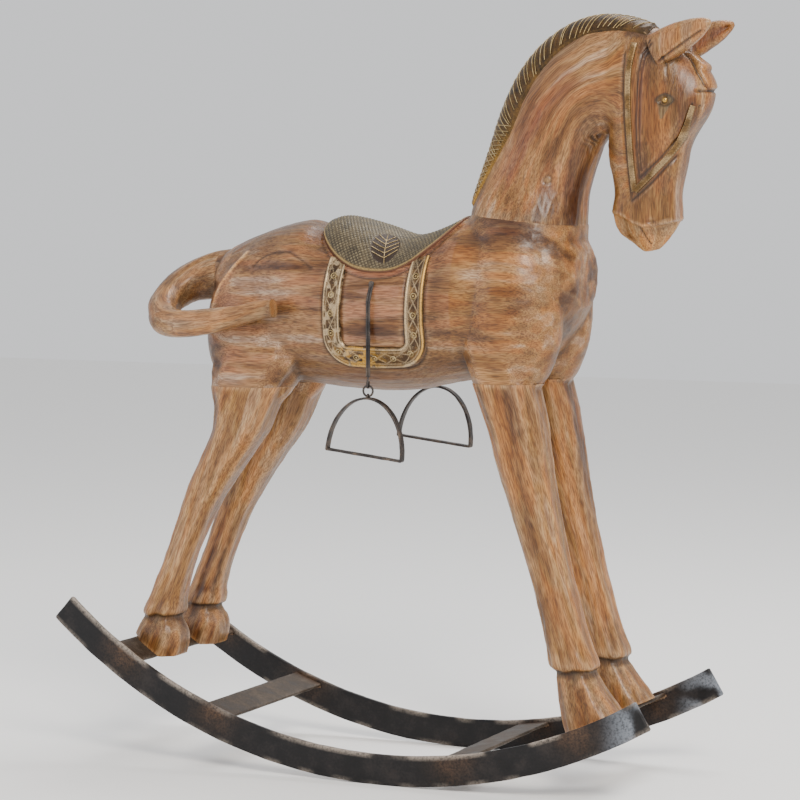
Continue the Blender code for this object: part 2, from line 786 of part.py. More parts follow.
def strap(name, tree, side):
    """Return the thin iron strap: from its nail over the flank, then plumb to the hook."""
    origin, direction = flank_ray(STIRRUP_X, STRAP_TOP_Z, side)
    nail = out_to_skin(tree, origin, direction)[0]
    spots = (
        (abs(nail.y) + STRAP_CLEARANCE, STRAP_TOP_Z),
        (STIRRUP_Y - STRAP_CLEARANCE / 4, STRAP_BEND_Z + STRAP_THICKNESS),
        (STIRRUP_Y, STRAP_BEND_Z - STRAP_THICKNESS),
        (STIRRUP_Y, STRAP_BOTTOM_Z),
    )
    outer = []
    inner = []
    edges = (STIRRUP_X - STRAP_WIDTH / 2, STIRRUP_X + STRAP_WIDTH / 2)
    for y, z in spots:
        outer.append([Vector((x, side * (y + STRAP_THICKNESS / 2), z)) for x in edges])
        inner.append([Vector((x, side * (y - STRAP_THICKNESS / 2), z)) for x in edges])
    return shell(name, outer, inner)


def torus(name, centre, radius, wire, turn):
    """Return a wire ring whose plane is turned about Z."""
    bm = bmesh.new()
    loops = []
    for step in range(12):
        angle = 2 * math.pi * step / 12
        run = Vector((math.cos(angle) * math.cos(turn), math.cos(angle) * math.sin(turn), math.sin(angle)))
        flat = Vector((-math.sin(turn), math.cos(turn), 0))
        spot = Vector(centre) + run * radius
        loops.append([bm.verts.new(p) for p in ring(spot, flat * wire, run * wire, 2.0, 6)])
    for index, loop in enumerate(loops):
        after = loops[(index + 1) % len(loops)]
        for corner in range(6):
            other = (corner + 1) % 6
            bm.faces.new((loop[corner], loop[other], after[other], after[corner]))
    return new_object(name, bm)


def hook(name, side):
    """Return the wire hook between the strap's lower end and the ring."""
    top = STRAP_BOTTOM_Z - JOINT_GAP
    bottom = STIRRUP_TOP_Z + JOINT_GAP + 2 * (RING_RADIUS + RING_WIRE) + JOINT_GAP
    rings = []
    for step in range(5):
        share = step / 4
        bow = HOOK_WIRE * math.sin(math.pi * share)
        spot = Vector((STIRRUP_X + bow, side * STIRRUP_Y, top + (bottom - top) * share))
        rings.append(ring(spot, Vector((HOOK_WIRE, 0, 0)), Vector((0, HOOK_WIRE, 0)), 2.0, 8))
    return loft(name, rings)


def leg_outline(seam_z, region, bar, slide, toe_drop):
    """Return the side outline of a leg's region, from the seam down to its bar and toe."""
    rear, front = region
    angle = math.radians(BAR_ANGLES_DEG[bar])
    middle = bar_seat(bar, slide)
    toe = bar_seat(bar, slide - toe_drop / math.sin(angle))
    heel = bar_seat(bar, slide - SOLE_REACH)
    if angle > 0:
        tip = bar_seat(bar, slide + SOLE_REACH)
        return [(rear, seam_z), (front, seam_z), (front, middle[1] + SOLE_REACH), tip, heel]
    return [(rear, seam_z), (front, seam_z), (front, toe[1]), toe, heel, (heel[0], middle[1] + SOLE_REACH)]


def carve(form):
    """Part the form at its seams into torso, neck with head, and legs."""
    reach = RUNNER_SPREAD
    regions = {
        "front": leg_outline(
            FRONT_LEG_SEAM_Z, FRONT_LEG_REGION_X, "crossbar_front", FRONT_FOOT_SLIDE, 0.0,
        ),
        "hind": leg_outline(
            HIND_LEG_SEAM_Z, HIND_LEG_REGION_X, "crossbar_rear", HIND_FOOT_SLIDE, HIND_TOE_DROP,
        ),
    }
    low, high = NECK_SEAM
    chin_z = HEAD_REGION_CHIN_Z
    nape_x = low[0] - HEAD_REGION_BACK
    head_region = [low, high, (high[0], chin_z), (FAR, chin_z), (FAR, FAR), (nape_x, FAR)]
    pieces = {}
    cutters = []
    for kind, outline in regions.items():
        for side, word in ((-1, "right"), (1, "left")):
            name = "%s_leg_%s" % (kind, word)
            pieces[name] = copy_of(form, name)
            combine(pieces[name], [prism("keep", outline, *sorted((0, side * reach)))], "INTERSECT")
        cutters.append(prism("cut", grown(outline, JOINT_GAP), -reach, reach))
    pieces["neck_and_head"] = copy_of(form, "neck_and_head")
    combine(pieces["neck_and_head"], [prism("keep", head_region, -reach, reach)], "INTERSECT")
    cutters.append(prism("cut", grown(head_region, JOINT_GAP), -reach, reach))
    below = FRONT_LEG_SEAM_Z - LEG_BELOW_TORSO
    cutters.append(prism("cut", [(-FAR, below), (FAR, below), (FAR, -FAR), (-FAR, -FAR)], -reach, reach))
    pieces["torso"] = copy_of(form, "torso")
    for cutter in cutters:
        combine(pieces["torso"], [cutter], "DIFFERENCE")
    return pieces


def main():
    """Build every piece."""
    clear_scene()
    wood = (0.42, 0.22, 0.11)
    brass = (0.55, 0.40, 0.16)
    iron = (0.035, 0.033, 0.033)
    form = horse_form()
    tree = skin_of(form)
    pieces = carve(form)
    torso = pieces["torso"]
    neck = pieces["neck_and_head"]
    combine(neck, [ear("ear", side) for side in (-1, 1)] + [forelock()], "UNION")
    combine(neck, [inflated(mane("cut", tree, CUT_OVER))], "DIFFERENCE")
    combine(torso, [inflated(seat("cut", tree, CUT_OVER))], "DIFFERENCE")
    for side in (-1, 1):
        for strap_cut in bridle("cut", tree, side, CUT_OVER):
            combine(neck, [inflated(strap_cut)], "DIFFERENCE")
        combine(neck, [eye_tack("cut", tree, side, JOINT_GAP)], "DIFFERENCE")
        combine(torso, [inflated(border("cut", tree, side, CUT_OVER))], "DIFFERENCE")
    pieces["tail"] = tail()
    joint = TAIL_JOINT_X
    root = joint + TAIL_ROOT_DEPTH
    behind = [(joint, 0), (joint, FAR), (-FAR, FAR), (-FAR, 0)]
    ahead = [(joint, 0), (joint, FAR), (root, FAR), (root, 0)]
    root_cut = prism("cut", grown(ahead, JOINT_GAP), -TAIL_ROOT_HALF_WIDTH, TAIL_ROOT_HALF_WIDTH)
    combine(pieces["tail"], [root_cut], "DIFFERENCE")
    combine(torso, [prism("cut", behind, -RUNNER_SPREAD, RUNNER_SPREAD)], "DIFFERENCE")
    pieces["mane"] = mane("mane", tree)
    pieces["saddle_seat"] = seat("saddle_seat", tree)
    for side, word in ((-1, "right"), (1, "left")):
        pieces["blanket_border_" + word] = border("blanket_border_" + word, tree, side)
        combine(pieces["blanket_border_" + word], [inflated(seat("cut", tree, CUT_OVER))], "DIFFERENCE")
        cheek, nose = bridle("bridle_" + word, tree, side)
        combine(cheek, [nose], "UNION")
        pieces["bridle_" + word] = cheek
        pieces["eye_tack_" + word] = eye_tack("eye_tack_" + word, tree, side)
        pieces["stirrup_" + word] = stirrup("stirrup_" + word, side)
        pieces["stirrup_strap_" + word] = strap("stirrup_strap_" + word, tree, side)
        ring_z = STIRRUP_TOP_Z + JOINT_GAP + RING_RADIUS + RING_WIRE
        ring_middle = (STIRRUP_X, side * STIRRUP_Y, ring_z)
        pieces["stirrup_ring_" + word] = torus("stirrup_ring_" + word, ring_middle, RING_RADIUS, RING_WIRE, 0.0)
        pieces["stirrup_hook_" + word] = hook("stirrup_hook_" + word, side)
        pieces["runner_" + word] = runner("runner_" + word, side)
    for name in BAR_ANGLES_DEG:
        pieces[name] = crossbar(name)
    bpy.data.objects.remove(form, do_unlink=True)
    frame = bpy.data.objects.new("horse_frame", None)
    frame.location.x = -MIDDLE_X
    bpy.context.collection.objects.link(frame)
    metal_words = ("mane", "blanket", "bridle", "eye", "saddle")
    iron_words = ("stirrup", "runner", "crossbar")
    for name, piece in pieces.items():
        piece.parent = frame
        piece.name = name
        piece.data.name = name
        if name.startswith(iron_words):
            look = material(name, iron, 0.55, 0.6)
        elif name.startswith(metal_words):
            look = material(name, brass, 0.42, 0.9)
        else:
            look = material(name, wood, 0.55, 0.0)
        piece.data.materials.clear()
        piece.data.materials.append(look)
        piece.data.shade_smooth()
        piece.data.set_sharp_from_angle(angle=math.radians(40))


main()
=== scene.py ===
import itertools
import json
import math

import bmesh
import bpy
import numpy as np
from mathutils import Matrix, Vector
from mathutils.bvhtree import BVHTree

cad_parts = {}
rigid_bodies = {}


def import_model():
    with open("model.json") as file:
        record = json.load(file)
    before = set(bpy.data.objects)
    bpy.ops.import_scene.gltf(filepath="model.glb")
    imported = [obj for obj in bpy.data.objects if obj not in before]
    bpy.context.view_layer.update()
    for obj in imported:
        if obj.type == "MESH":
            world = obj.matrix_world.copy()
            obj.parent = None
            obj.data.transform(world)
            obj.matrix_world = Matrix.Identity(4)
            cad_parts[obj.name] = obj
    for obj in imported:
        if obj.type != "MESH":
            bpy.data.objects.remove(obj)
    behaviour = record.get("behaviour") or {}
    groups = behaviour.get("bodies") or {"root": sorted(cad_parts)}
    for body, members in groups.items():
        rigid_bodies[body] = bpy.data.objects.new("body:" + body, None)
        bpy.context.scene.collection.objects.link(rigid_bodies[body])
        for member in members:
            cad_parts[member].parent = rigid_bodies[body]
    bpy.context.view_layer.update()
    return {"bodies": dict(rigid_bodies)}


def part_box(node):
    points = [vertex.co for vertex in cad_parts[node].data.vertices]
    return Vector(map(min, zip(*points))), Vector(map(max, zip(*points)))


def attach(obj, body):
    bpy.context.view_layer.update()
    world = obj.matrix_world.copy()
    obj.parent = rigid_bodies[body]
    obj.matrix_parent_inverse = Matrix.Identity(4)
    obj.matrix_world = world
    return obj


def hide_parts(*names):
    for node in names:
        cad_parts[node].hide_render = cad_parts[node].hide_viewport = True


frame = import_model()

# Runners, bars and where the feet stand
RUNNER_RADIUS = 0.659
RUNNER_HEIGHT = 0.036
RUNNER_THICKNESS = 0.006
RUNNER_SPREAD = 0.257
RUNNER_REAR_DEG = 42.2
RUNNER_FRONT_DEG = 30.6
REST_FLAT = 0.06
BAR_WIDTH = 0.038
BAR_THICKNESS = 0.004
BAR_DROP = 0.0035
BAR_ANGLES_DEG = {
    "crossbar_rear": -33.2,
    "crossbar_rear_middle": -20.5,
    "crossbar_front_middle": 8.4,
    "crossbar_front": 23.0,
}
FRONT_FOOT_SLIDE = -0.004
HIND_FOOT_SLIDE = 0.006
HIND_TOE_DROP = 0.009
RUNNER_CENTRE_Z = RUNNER_RADIUS * math.cos(math.asin(REST_FLAT / 2 / RUNNER_RADIUS))
RUNNER_INNER_RADIUS = RUNNER_RADIUS - RUNNER_HEIGHT
RUNNER_MIDDLE_Y = (RUNNER_SPREAD - RUNNER_THICKNESS) / 2
REAR_END_X = -RUNNER_RADIUS * math.sin(math.radians(RUNNER_REAR_DEG))
SHIFT_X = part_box("runner_right")[0].x - REAR_END_X

# Torso: position along the back, top, underside, half width
BARREL_ROWS = (
    (-0.266, 0.61, 0.506, 0.044),
    (-0.252, 0.625, 0.486, 0.062),
    (-0.215, 0.641, 0.468, 0.077),
    (-0.18, 0.652, 0.461, 0.083),
    (-0.145, 0.658, 0.461, 0.087),
    (-0.115, 0.647, 0.458, 0.09),
    (-0.05, 0.636, 0.455, 0.094),
    (0.0, 0.635, 0.458, 0.095),
    (0.04, 0.649, 0.466, 0.093),
    (0.075, 0.666, 0.472, 0.09),
    (0.12, 0.668, 0.478, 0.084),
    (0.16, 0.664, 0.496, 0.077),
    (0.188, 0.653, 0.53, 0.061),
    (0.206, 0.63, 0.56, 0.038),
)
SHOULDER = ((0.13, 0.046, 0.555), (0.064, 0.047, 0.108))
HAUNCH = ((-0.203, 0.044, 0.524), (0.066, 0.045, 0.096))

# Neck and head: outer line X, Z, inner line X, Z, half width, squareness of the section
NECK_ROWS = (
    (0.075, 0.6, 0.193, 0.56, 0.08, 2.25),
    (0.064, 0.64, 0.199, 0.605, 0.076, 2.25),
    (0.068, 0.673, 0.202, 0.655, 0.066, 2.25),
    (0.077, 0.706, 0.205, 0.688, 0.053, 2.25),
    (0.091, 0.748, 0.212, 0.713, 0.045, 2.25),
    (0.104, 0.788, 0.219, 0.731, 0.041, 2.25),
    (0.127, 0.834, 0.226, 0.748, 0.038, 2.25),
    (0.162, 0.871, 0.232, 0.756, 0.037, 2.3),
    (0.206, 0.893, 0.236, 0.76, 0.036, 2.3),
    (0.252, 0.895, 0.238, 0.762, 0.035, 2.3),
    (0.3, 0.879, 0.238, 0.758, 0.036, 2.3),
    (0.335, 0.852, 0.236, 0.75, 0.037, 2.4),
    (0.359, 0.82, 0.236, 0.738, 0.037, 2.5),
    (0.356, 0.79, 0.238, 0.724, 0.036, 2.7),
    (0.334, 0.755, 0.243, 0.708, 0.033, 3.0),
    (0.327, 0.724, 0.245, 0.69, 0.03, 3.2),
    (0.321, 0.694, 0.242, 0.67, 0.028, 3.2),
    (0.322, 0.664, 0.249, 0.648, 0.027, 3.0),
    (0.311, 0.643, 0.265, 0.635, 0.023, 2.6),
    (0.297, 0.628, 0.279, 0.624, 0.013, 2.4),
)
EAR_ROOT = (0.298, 0.03, 0.855)
EAR_TIP = (0.371, 0.041, 0.888)
EAR_ROWS = (
    (0.0, 0.019, 0.011),
    (0.35, 0.019, 0.011),
    (0.7, 0.014, 0.009),
    (0.9, 0.008, 0.006),
    (1.0, 0.003, 0.003),
)
FORELOCK_START = (0.29, 0.876)
FORELOCK_END = (0.35, 0.832)
FORELOCK_HALF_WIDTH = 0.013
FORELOCK_HALF_HEIGHT = 0.007

# Legs: share of the way up, sideways bow, half depth, half width
LEG_SPREAD = 0.052
FRONT_HIP = (0.128, 0.472)
FRONT_LEG_ROWS = (
    (-0.06, 0.004, 0.039, 0.03),
    (0.0, 0.001, 0.037, 0.03),
    (0.07, -0.004, 0.03, 0.027),
    (0.135, -0.008, 0.023, 0.022),
    (0.15, -0.008, 0.0225, 0.0215),
    (0.165, -0.008, 0.026, 0.0245),
    (0.2, -0.008, 0.026, 0.0245),
    (0.3, -0.008, 0.0235, 0.023),
    (0.5, -0.0065, 0.0245, 0.024),
    (0.7, -0.005, 0.029, 0.028),
    (0.88, -0.001, 0.034, 0.032),
    (1.0, -0.001, 0.036, 0.034),
    (1.12, -0.003, 0.035, 0.033),
    (1.22, -0.003, 0.022, 0.02),
)
HIND_HIP = (-0.207, 0.458)
HIND_LEG_ROWS = (
    (-0.08, 0.0, 0.034, 0.029),
    (0.0, 0.001, 0.032, 0.028),
    (0.06, -0.003, 0.03, 0.027),
    (0.105, -0.009, 0.0225, 0.0215),
    (0.12, -0.01, 0.022, 0.021),
    (0.135, -0.01, 0.0235, 0.023),
    (0.21, -0.013, 0.0205, 0.021),
    (0.31, -0.014, 0.0185, 0.0195),
    (0.42, -0.014, 0.019, 0.02),
    (0.53, -0.012, 0.021, 0.0215),
    (0.63, -0.008, 0.025, 0.024),
    (0.73, -0.001, 0.0285, 0.0265),
    (0.83, 0.006, 0.032, 0.0295),
    (0.93, 0.002, 0.0378, 0.0325),
    (1.0, -0.003, 0.0455, 0.0345),
    (1.12, -0.002, 0.054, 0.034),
    (1.24, -0.002, 0.03, 0.02),
)

# Tail: centre line and radius, from inside the rump round to the blunt end
TAIL_ROWS = (
    (-0.225, 0.0, 0.585, 0.034),
    (-0.258, 0.0, 0.59, 0.03),
    (-0.287, -0.006, 0.587, 0.0265),
    (-0.311, -0.022, 0.578, 0.0215),
    (-0.323, -0.046, 0.563, 0.018),
    (-0.32, -0.072, 0.548, 0.0175),
    (-0.304, -0.093, 0.537, 0.0165),
    (-0.276, -0.105, 0.534, 0.0155),
    (-0.238, -0.109, 0.538, 0.0142),
    (-0.2, -0.11, 0.545, 0.012),
    (-0.168, -0.109, 0.553, 0.0105),
    (-0.14, -0.107, 0.557, 0.01),
)
TAIL_SEAM_X = -0.27
TAIL_END_X = -0.15

# Seams between the carved pieces
NECK_SEAM = ((0.03, 0.672), (0.222, 0.653))
FRONT_LEG_SEAM_Z = 0.472
HIND_LEG_SEAM_Z = 0.458

# Saddle seat: position, reach down each side in degrees, pad height on the ridge
BACK_AXIS_Z = 0.555
SEAT_ROWS = (
    (-0.122, 11.0, 0.006),
    (-0.115, 27.0, 0.014),
    (-0.1, 41.0, 0.02),
    (-0.078, 53.5, 0.0205),
    (-0.05, 61.5, 0.017),
    (-0.015, 62.5, 0.0085),
    (0.01, 56.5, 0.0072),
    (0.032, 44.5, 0.0064),
    (0.05, 32.0, 0.0058),
    (0.064, 21.0, 0.004),
)
SEAT_RIM_PROUD = 0.0045
SEAT_ARC_RADIUS = 0.096
LEAF_MIDDLE = (-0.0267, 0.0629)
LEAF_RUN = (-0.25, -0.968)
LEAF_HALF = (0.0295, 0.0178)

# Blanket border: a U of sheet metal on each flank
BORDER_REAR_X = -0.081
BORDER_FRONT_X = 0.027
BORDER_TOP_Z = 0.622
BORDER_BOTTOM_Z = 0.499
BORDER_CORNER_RADIUS = 0.021
BORDER_WIDTH = 0.024
BORDER_PROUD = 0.003
FLANK_RADIUS = 0.102

# Mane, bridle and eye
MANE_FIRST_ROW = 2.15
MANE_LAST_ROW = 9.8
MANE_REACH_DEG = ((0.0, 34.0), (0.35, 50.0), (0.6, 44.0), (0.8, 35.0), (1.0, 24.0))
MANE_PROUD = 0.0035
MANE_LINE_STEP = 0.0085
CHEEK_BAND = (
    (0.2751, 0.8651), (0.2707, 0.8369), (0.2694, 0.8108), (0.2706, 0.7716), (0.273, 0.728), (0.2757, 0.6952),
)
NOSE_BAND = ((0.2762, 0.696), (0.2985, 0.7165), (0.32, 0.7395), (0.3365, 0.768), (0.3455, 0.793))
BAND_WIDTH = 0.0078
EYE_PLACE = (0.3145, 0.7995)
EYE_TACK_RADIUS = 0.003

# Stirrups and what they hang from
STIRRUP_X = -0.029
STIRRUP_Y = 0.1
STIRRUP_SLIDE = 0.003
STIRRUP_TOP_Z = 0.453
STIRRUP_WIDTH = 0.1
STIRRUP_HEIGHT = 0.07
STIRRUP_TILT_DEG = 6.5
STIRRUP_STRIP_WIDTH = 0.01
STIRRUP_STRIP_THICKNESS = 0.0026
STRAP_TOP_Z = 0.586
STRAP_BEND_Z = 0.566
STRAP_BOTTOM_Z = 0.477
STRAP_WIDTH = 0.0055
STRAP_THICKNESS = 0.0016
STRAP_CLEARANCE = 0.0022
RING_RADIUS = 0.0062
RING_WIRE = 0.0012
HOOK_WIRE = 0.0011

# Mesh fineness and softening of the wood, and of the head
SKIN_VOXEL = 0.0022
SKIN_SMOOTHING = 8
HEAD_VOXEL = 0.0015
HEAD_SMOOTHING = 17

# The photographer's place and lens, fitted to the runners, hooves and ears
LENS_MM = 137.6
SENSOR_MM = 36.0
CAMERA_PLACE = (1.517, -3.3287, 0.743)
CAMERA_AIM = (-0.0342, 0.0, 0.4425)


# Helpers

def placed(points):
    """Carry points measured from the runners' lowest point into the frame."""
    return np.asarray(points, float) + (SHIFT_X, 0, 0)


def smooth_rows(rows, steps):
    """Read a table as a Catmull-Rom curve, with steps rows for each interval."""
    rows = np.asarray(rows, float)
    places = np.linspace(0, len(rows) - 1, (len(rows) - 1) * steps + 1)
    return rows_at(rows, places)


def rows_at(rows, places):
    """Read a table at fractional rows."""
    rows = np.asarray(rows, float)
    last = len(rows) - 1
    index = np.minimum(places.astype(int), last - 1)
    t = (places - index)[:, None]
    a, b, c, d = (rows[np.clip(index + k, 0, last)] for k in (-1, 0, 1, 2))
    slow = 2 * b + (c - a) * t
    return 0.5 * (slow + (2 * a - 5 * b + 4 * c - d) * t ** 2 + (3 * b - a - 3 * c + d) * t ** 3)


def in_space(x, y, z):
    """Return places from their X, Y and Z, where each is a list or one number."""
    return np.stack(np.broadcast_arrays(x, y, z), axis=-1)


def column(rows, x, index):
    """Read one column of a table at positions in its first column."""
    rows = np.asarray(rows, float)
    return np.interp(x, rows[:, 0], rows[:, index])


def rounded_section(centre, side, up, power, count, chamfer=None):
    """Return a rounded-square section, or an eight-sided whittled one where chamfer is given."""
    turn = 2 * np.pi * (np.arange(count) + 0.5) / count
    c = np.cos(turn)
    s = np.sin(turn)
    if chamfer:
        faces = np.pi / 4 * np.arange(8)
        reach = np.where(np.arange(8) % 2, chamfer, 1.0)
        radius = 1 / np.max(np.cos(turn[:, None] - faces) / reach, axis=1)
        across = radius * c
        high = radius * s
    else:
        across = np.sign(c) * np.abs(c) ** (2 / power)
        high = np.sign(s) * np.abs(s) ** (2 / power)
    return np.asarray(centre) + np.outer(across, side) + np.outer(high, up)


def faces_between(rows, columns, loop=False):
    """Return the faces of a tube of sections, as corner numbers."""
    faces = []
    last = rows if loop else rows - 1
    for i in range(last):
        after = (i + 1) % rows
        for j in range(columns):
            k = (j + 1) % columns
            faces.append((i * columns + j, i * columns + k, after * columns + k, after * columns + j))
    return faces


def linked(name, data):
    """Return a new object in the scene."""
    made = bpy.data.objects.new(name, data)
    bpy.context.collection.objects.link(made)
    return made


def from_bmesh(name, bm):
    """Return a worked mesh as an object."""
    mesh = bpy.data.meshes.new(name)
    bm.to_mesh(mesh)
    bm.free()
    return linked(name, mesh)


def ball(name, centre, size, radius, segments, rings):
    """Return a ball stretched to a size about its centre."""
    bm = bmesh.new()
    bmesh.ops.create_uvsphere(bm, u_segments=segments, v_segments=rings, radius=radius)
    bmesh.ops.scale(bm, vec=size, verts=bm.verts)
    bmesh.ops.translate(bm, vec=centre, verts=bm.verts)
    return from_bmesh(name, bm)


def mesh_object(name, verts, faces):
    """Return an object with outward faces."""
    mesh = bpy.data.meshes.new(name)
    mesh.from_pydata([tuple(v) for v in verts], [], faces)
    bm = bmesh.new()
    bm.from_mesh(mesh)
    bmesh.ops.recalc_face_normals(bm, faces=bm.faces)
    bm.to_mesh(mesh)
    bm.free()
    return linked(name, mesh)


def tube(name, sections, loop=False):
    """Skin sections of equal count into a closed solid."""
    sections = np.asarray(sections, float)
    rows, columns = sections.shape[:2]
    verts = sections.reshape(-1, 3)
    faces = faces_between(rows, columns, loop)
    if not loop:
        ends = sections[[0, -1]].mean(axis=1)
        verts = np.vstack([verts, ends])
        start = (rows - 1) * columns
        for j in range(columns):
            k = (j + 1) % columns
            faces.append((k, j, rows * columns))
            faces.append((start + j, start + k, rows * columns + 1))
    return mesh_object(name, verts, faces)


def settled(item):
    """Apply an object's modifiers."""
    graph = bpy.context.evaluated_depsgraph_get()
    mesh = bpy.data.meshes.new_from_object(item.evaluated_get(graph))
    item.modifiers.clear()
    item.data = mesh
    return item


def vectors_of(rows, word):
    """Return the vector kept in each row of mesh data."""
    out = np.empty(len(rows) * 3)
    rows.foreach_get(word, out)
    return out.reshape(-1, 3)


def points_of(item):
    """Return an object's vertex places."""
    return vectors_of(item.data.vertices, "co")


def normals_of(item):
    """Return an object's vertex normals."""
    return vectors_of(item.data.vertex_normals, "vector")


def outward_of(item):
    """Return the skin's own outward directions, which a cut through it doesn't turn."""
    out = vectors_of(item.data.attributes["outward"].data, "vector")
    length = np.linalg.norm(out, axis=1)
    item.data.attributes.remove(item.data.attributes["outward"])
    return np.where(length[:, None] > 0.2, out / np.maximum(length, 0.2)[:, None], normals_of(item))


def move_points(item, points):
    """Set an object's vertex places."""
    item.data.vertices.foreach_set("co", np.asarray(points, float).ravel())
    item.data.update()


def note(item, name, values):
    """Keep a value for each vertex, for the materials to read."""
    values = np.asarray(values, float)
    kind = "FLOAT_VECTOR" if values.ndim == 2 else "FLOAT"
    layer = item.data.attributes.new(name, kind, "POINT")
    layer.data.foreach_set("vector" if values.ndim == 2 else "value", values.ravel())


def step_up(value, low, high):
    """Rise smoothly from 0 at low to 1 at high."""
    t = np.clip((value - low) / (high - low), 0, 1)
    return t * t * (3 - 2 * t)


def between(value, low, full, fade, high):
    """Rise smoothly to 1 from low to full, and fall back from fade to high."""
    return step_up(value, low, full) * (1 - step_up(value, fade, high))


GRAIN_BLEND = 0.008
LATTICE_CELLS = 32
LATTICE = np.random.RandomState(7).rand(LATTICE_CELLS, LATTICE_CELLS, LATTICE_CELLS)


def mottle(points, size, seed=0):
    """Return smooth noise from 0 to 1 with lumps of about a size in metres."""
    p = np.asarray(points) / size + seed * 17.31
    base = np.floor(p).astype(int)
    f = p - base
    f = f * f * (3 - 2 * f)
    total = np.zeros(len(p))
    for corner in itertools.product((0, 1), repeat=3):
        share = np.prod(np.where(corner, f, 1 - f), axis=1)
        x, y, z = ((base + corner) % LATTICE_CELLS).T
        total += share * LATTICE[x, y, z]
    return total


def gouge_marks(points, size, seed=0):
    """Return shallow scoops side by side: 0 in a scoop, 1 on the ridges between scoops."""
    p = np.asarray(points) / size + seed * 11.7
    base = np.floor(p).astype(int)
    first = np.full(len(p), 9.0)
    second = np.full(len(p), 9.0)
    for offset in itertools.product((-1, 0, 1), repeat=3):
        cell = base + offset
        x, y, z = (cell % LATTICE_CELLS).T
        middle = cell + np.stack([LATTICE[x, y, z], LATTICE[y, z, x], LATTICE[z, x, y]], axis=1)
        away = np.sum((middle - p) ** 2, axis=1)
        second = np.minimum(second, np.maximum(first, away))
        first = np.minimum(first, away)
    return 1 - np.clip((np.sqrt(second) - np.sqrt(first)) * 1.4, 0, 1)


def line_distance(flat, path):
    """Return the distance from points to a path in a plane, and how far along it they lie."""
    flat = np.asarray(flat, float)
    path = np.asarray(path, float)
    best = np.full(len(flat), 9.0)
    along = np.zeros(len(flat))
    run = 0.0
    for low, high in zip(path, path[1:]):
        line = high - low
        length = np.linalg.norm(line)
        t = np.clip((flat - low) @ line / length ** 2, 0, 1)
        away = np.linalg.norm(flat - (low + t[:, None] * line), axis=1)
        nearer = away < best
        best = np.where(nearer, away, best)
        along = np.where(nearer, run + t * length, along)
        run += length
    return best, along


def bell(away, width):
    """Return 1 where away is 0, falling to 0 over about a width."""
    return np.exp(-(away / width) ** 2)


def oval(across, width, up, height):
    """Return 1 in the middle of an oval spot, falling to 0 around it."""
    return np.exp(-((across / width) ** 2 + (up / height) ** 2))


def groove(flat, path, half_width):
    """Return 1 on a carved line, falling to 0 beside it."""
    return bell(line_distance(flat, path)[0], half_width)


def hollows(item, rounds):
    """Return how far each vertex lies below its neighbours' plane, in metres, spread over some rounds."""
    edges = np.empty(len(item.data.edges) * 2, int)
    item.data.edges.foreach_get("vertices", edges)
    edges = edges.reshape(-1, 2)
    points = points_of(item)
    count = np.bincount(edges.ravel(), minlength=len(points))
    count = np.maximum(count, 1)

    def spread(values):
        total = np.zeros_like(values)
        np.add.at(total, edges[:, 0], values[edges[:, 1]])
        np.add.at(total, edges[:, 1], values[edges[:, 0]])
        return total / (count if values.ndim == 1 else count[:, None])

    wide = points
    for _ in range(rounds):
        wide = spread(wide)
    depth = np.sum((wide - points) * normals_of(item), axis=1)
    for _ in range(max(1, rounds // 2)):
        depth = spread(depth)
    return depth


SEAT_TABLE = smooth_rows(SEAT_ROWS, 8)


# The carved skin

def slope(angle_deg):
    """Return the directions along a bar or runner at an angle, and off its face."""
    angle = math.radians(angle_deg)
    return np.array((math.cos(angle), 0, math.sin(angle))), np.array((-math.sin(angle), 0, math.cos(angle)))


def on_runner(angle_deg, radius):
    """Return X, Z of a point at an angle from the lowest point of the runners."""
    angle = math.radians(angle_deg)
    return radius * math.sin(angle), RUNNER_CENTRE_Z - radius * math.cos(angle)


def bar_seat(name, slide=0.0, lift=0.0):
    """Return the middle of a bar's top face, moved along its slope and off its face."""
    run, up = slope(BAR_ANGLES_DEG[name])
    x, z = on_runner(BAR_ANGLES_DEG[name], RUNNER_INNER_RADIUS + BAR_DROP)
    return x + slide * run[0] + lift * up[0], z + slide * run[2] + lift * up[2]


FRONT_FOOT = bar_seat("crossbar_front", FRONT_FOOT_SLIDE)
HIND_FOOT = bar_seat("crossbar_rear", HIND_FOOT_SLIDE)


def barrel():
    """Return the trunk of the horse."""
    return tube("barrel", [
        rounded_section((x, 0, (top + bottom) / 2), (0, half_width, 0), (0, 0, (top - bottom) / 2), 2.2, 96)
        for x, top, bottom, half_width in smooth_rows(BARREL_ROWS, 5)
    ])


def neck_mass():
    """Return the neck and head."""
    rings = []
    for outer_x, outer_z, inner_x, inner_z, half_width, power in smooth_rows(NECK_ROWS, 5):
        outer = np.array((outer_x, 0, outer_z))
        inner = np.array((inner_x, 0, inner_z))
        rings.append(rounded_section((outer + inner) / 2, (0, half_width, 0), (outer - inner) / 2, power, 96))
    return tube("neck", rings)


def leg_mass(rows, hip, foot, side):
    """Return one leg with its hoof, whittled eight-sided."""
    rings = []
    for share, bow, half_depth, half_width in smooth_rows(rows, 4):
        x = foot[0] + (hip[0] - foot[0]) * share + bow
        z = foot[1] + (hip[1] - foot[1]) * share
        rings.append(rounded_section(
            (x, side * LEG_SPREAD, z), (0, half_width, 0), (half_depth, 0, 0), 2, 64, 1.1,
        ))
    return tube("leg", rings)


def ear_frame(side):
    """Return an ear's root, tip, run, high and flat directions."""
    root = np.array((EAR_ROOT[0], side * EAR_ROOT[1], EAR_ROOT[2]))
    tip = np.array((EAR_TIP[0], side * EAR_TIP[1], EAR_TIP[2]))
    run = (tip - root) / np.linalg.norm(tip - root)
    high = np.array((-run[2], 0, run[0]))
    high /= np.linalg.norm(high)
    return root, tip, run, high, np.cross(run, high)


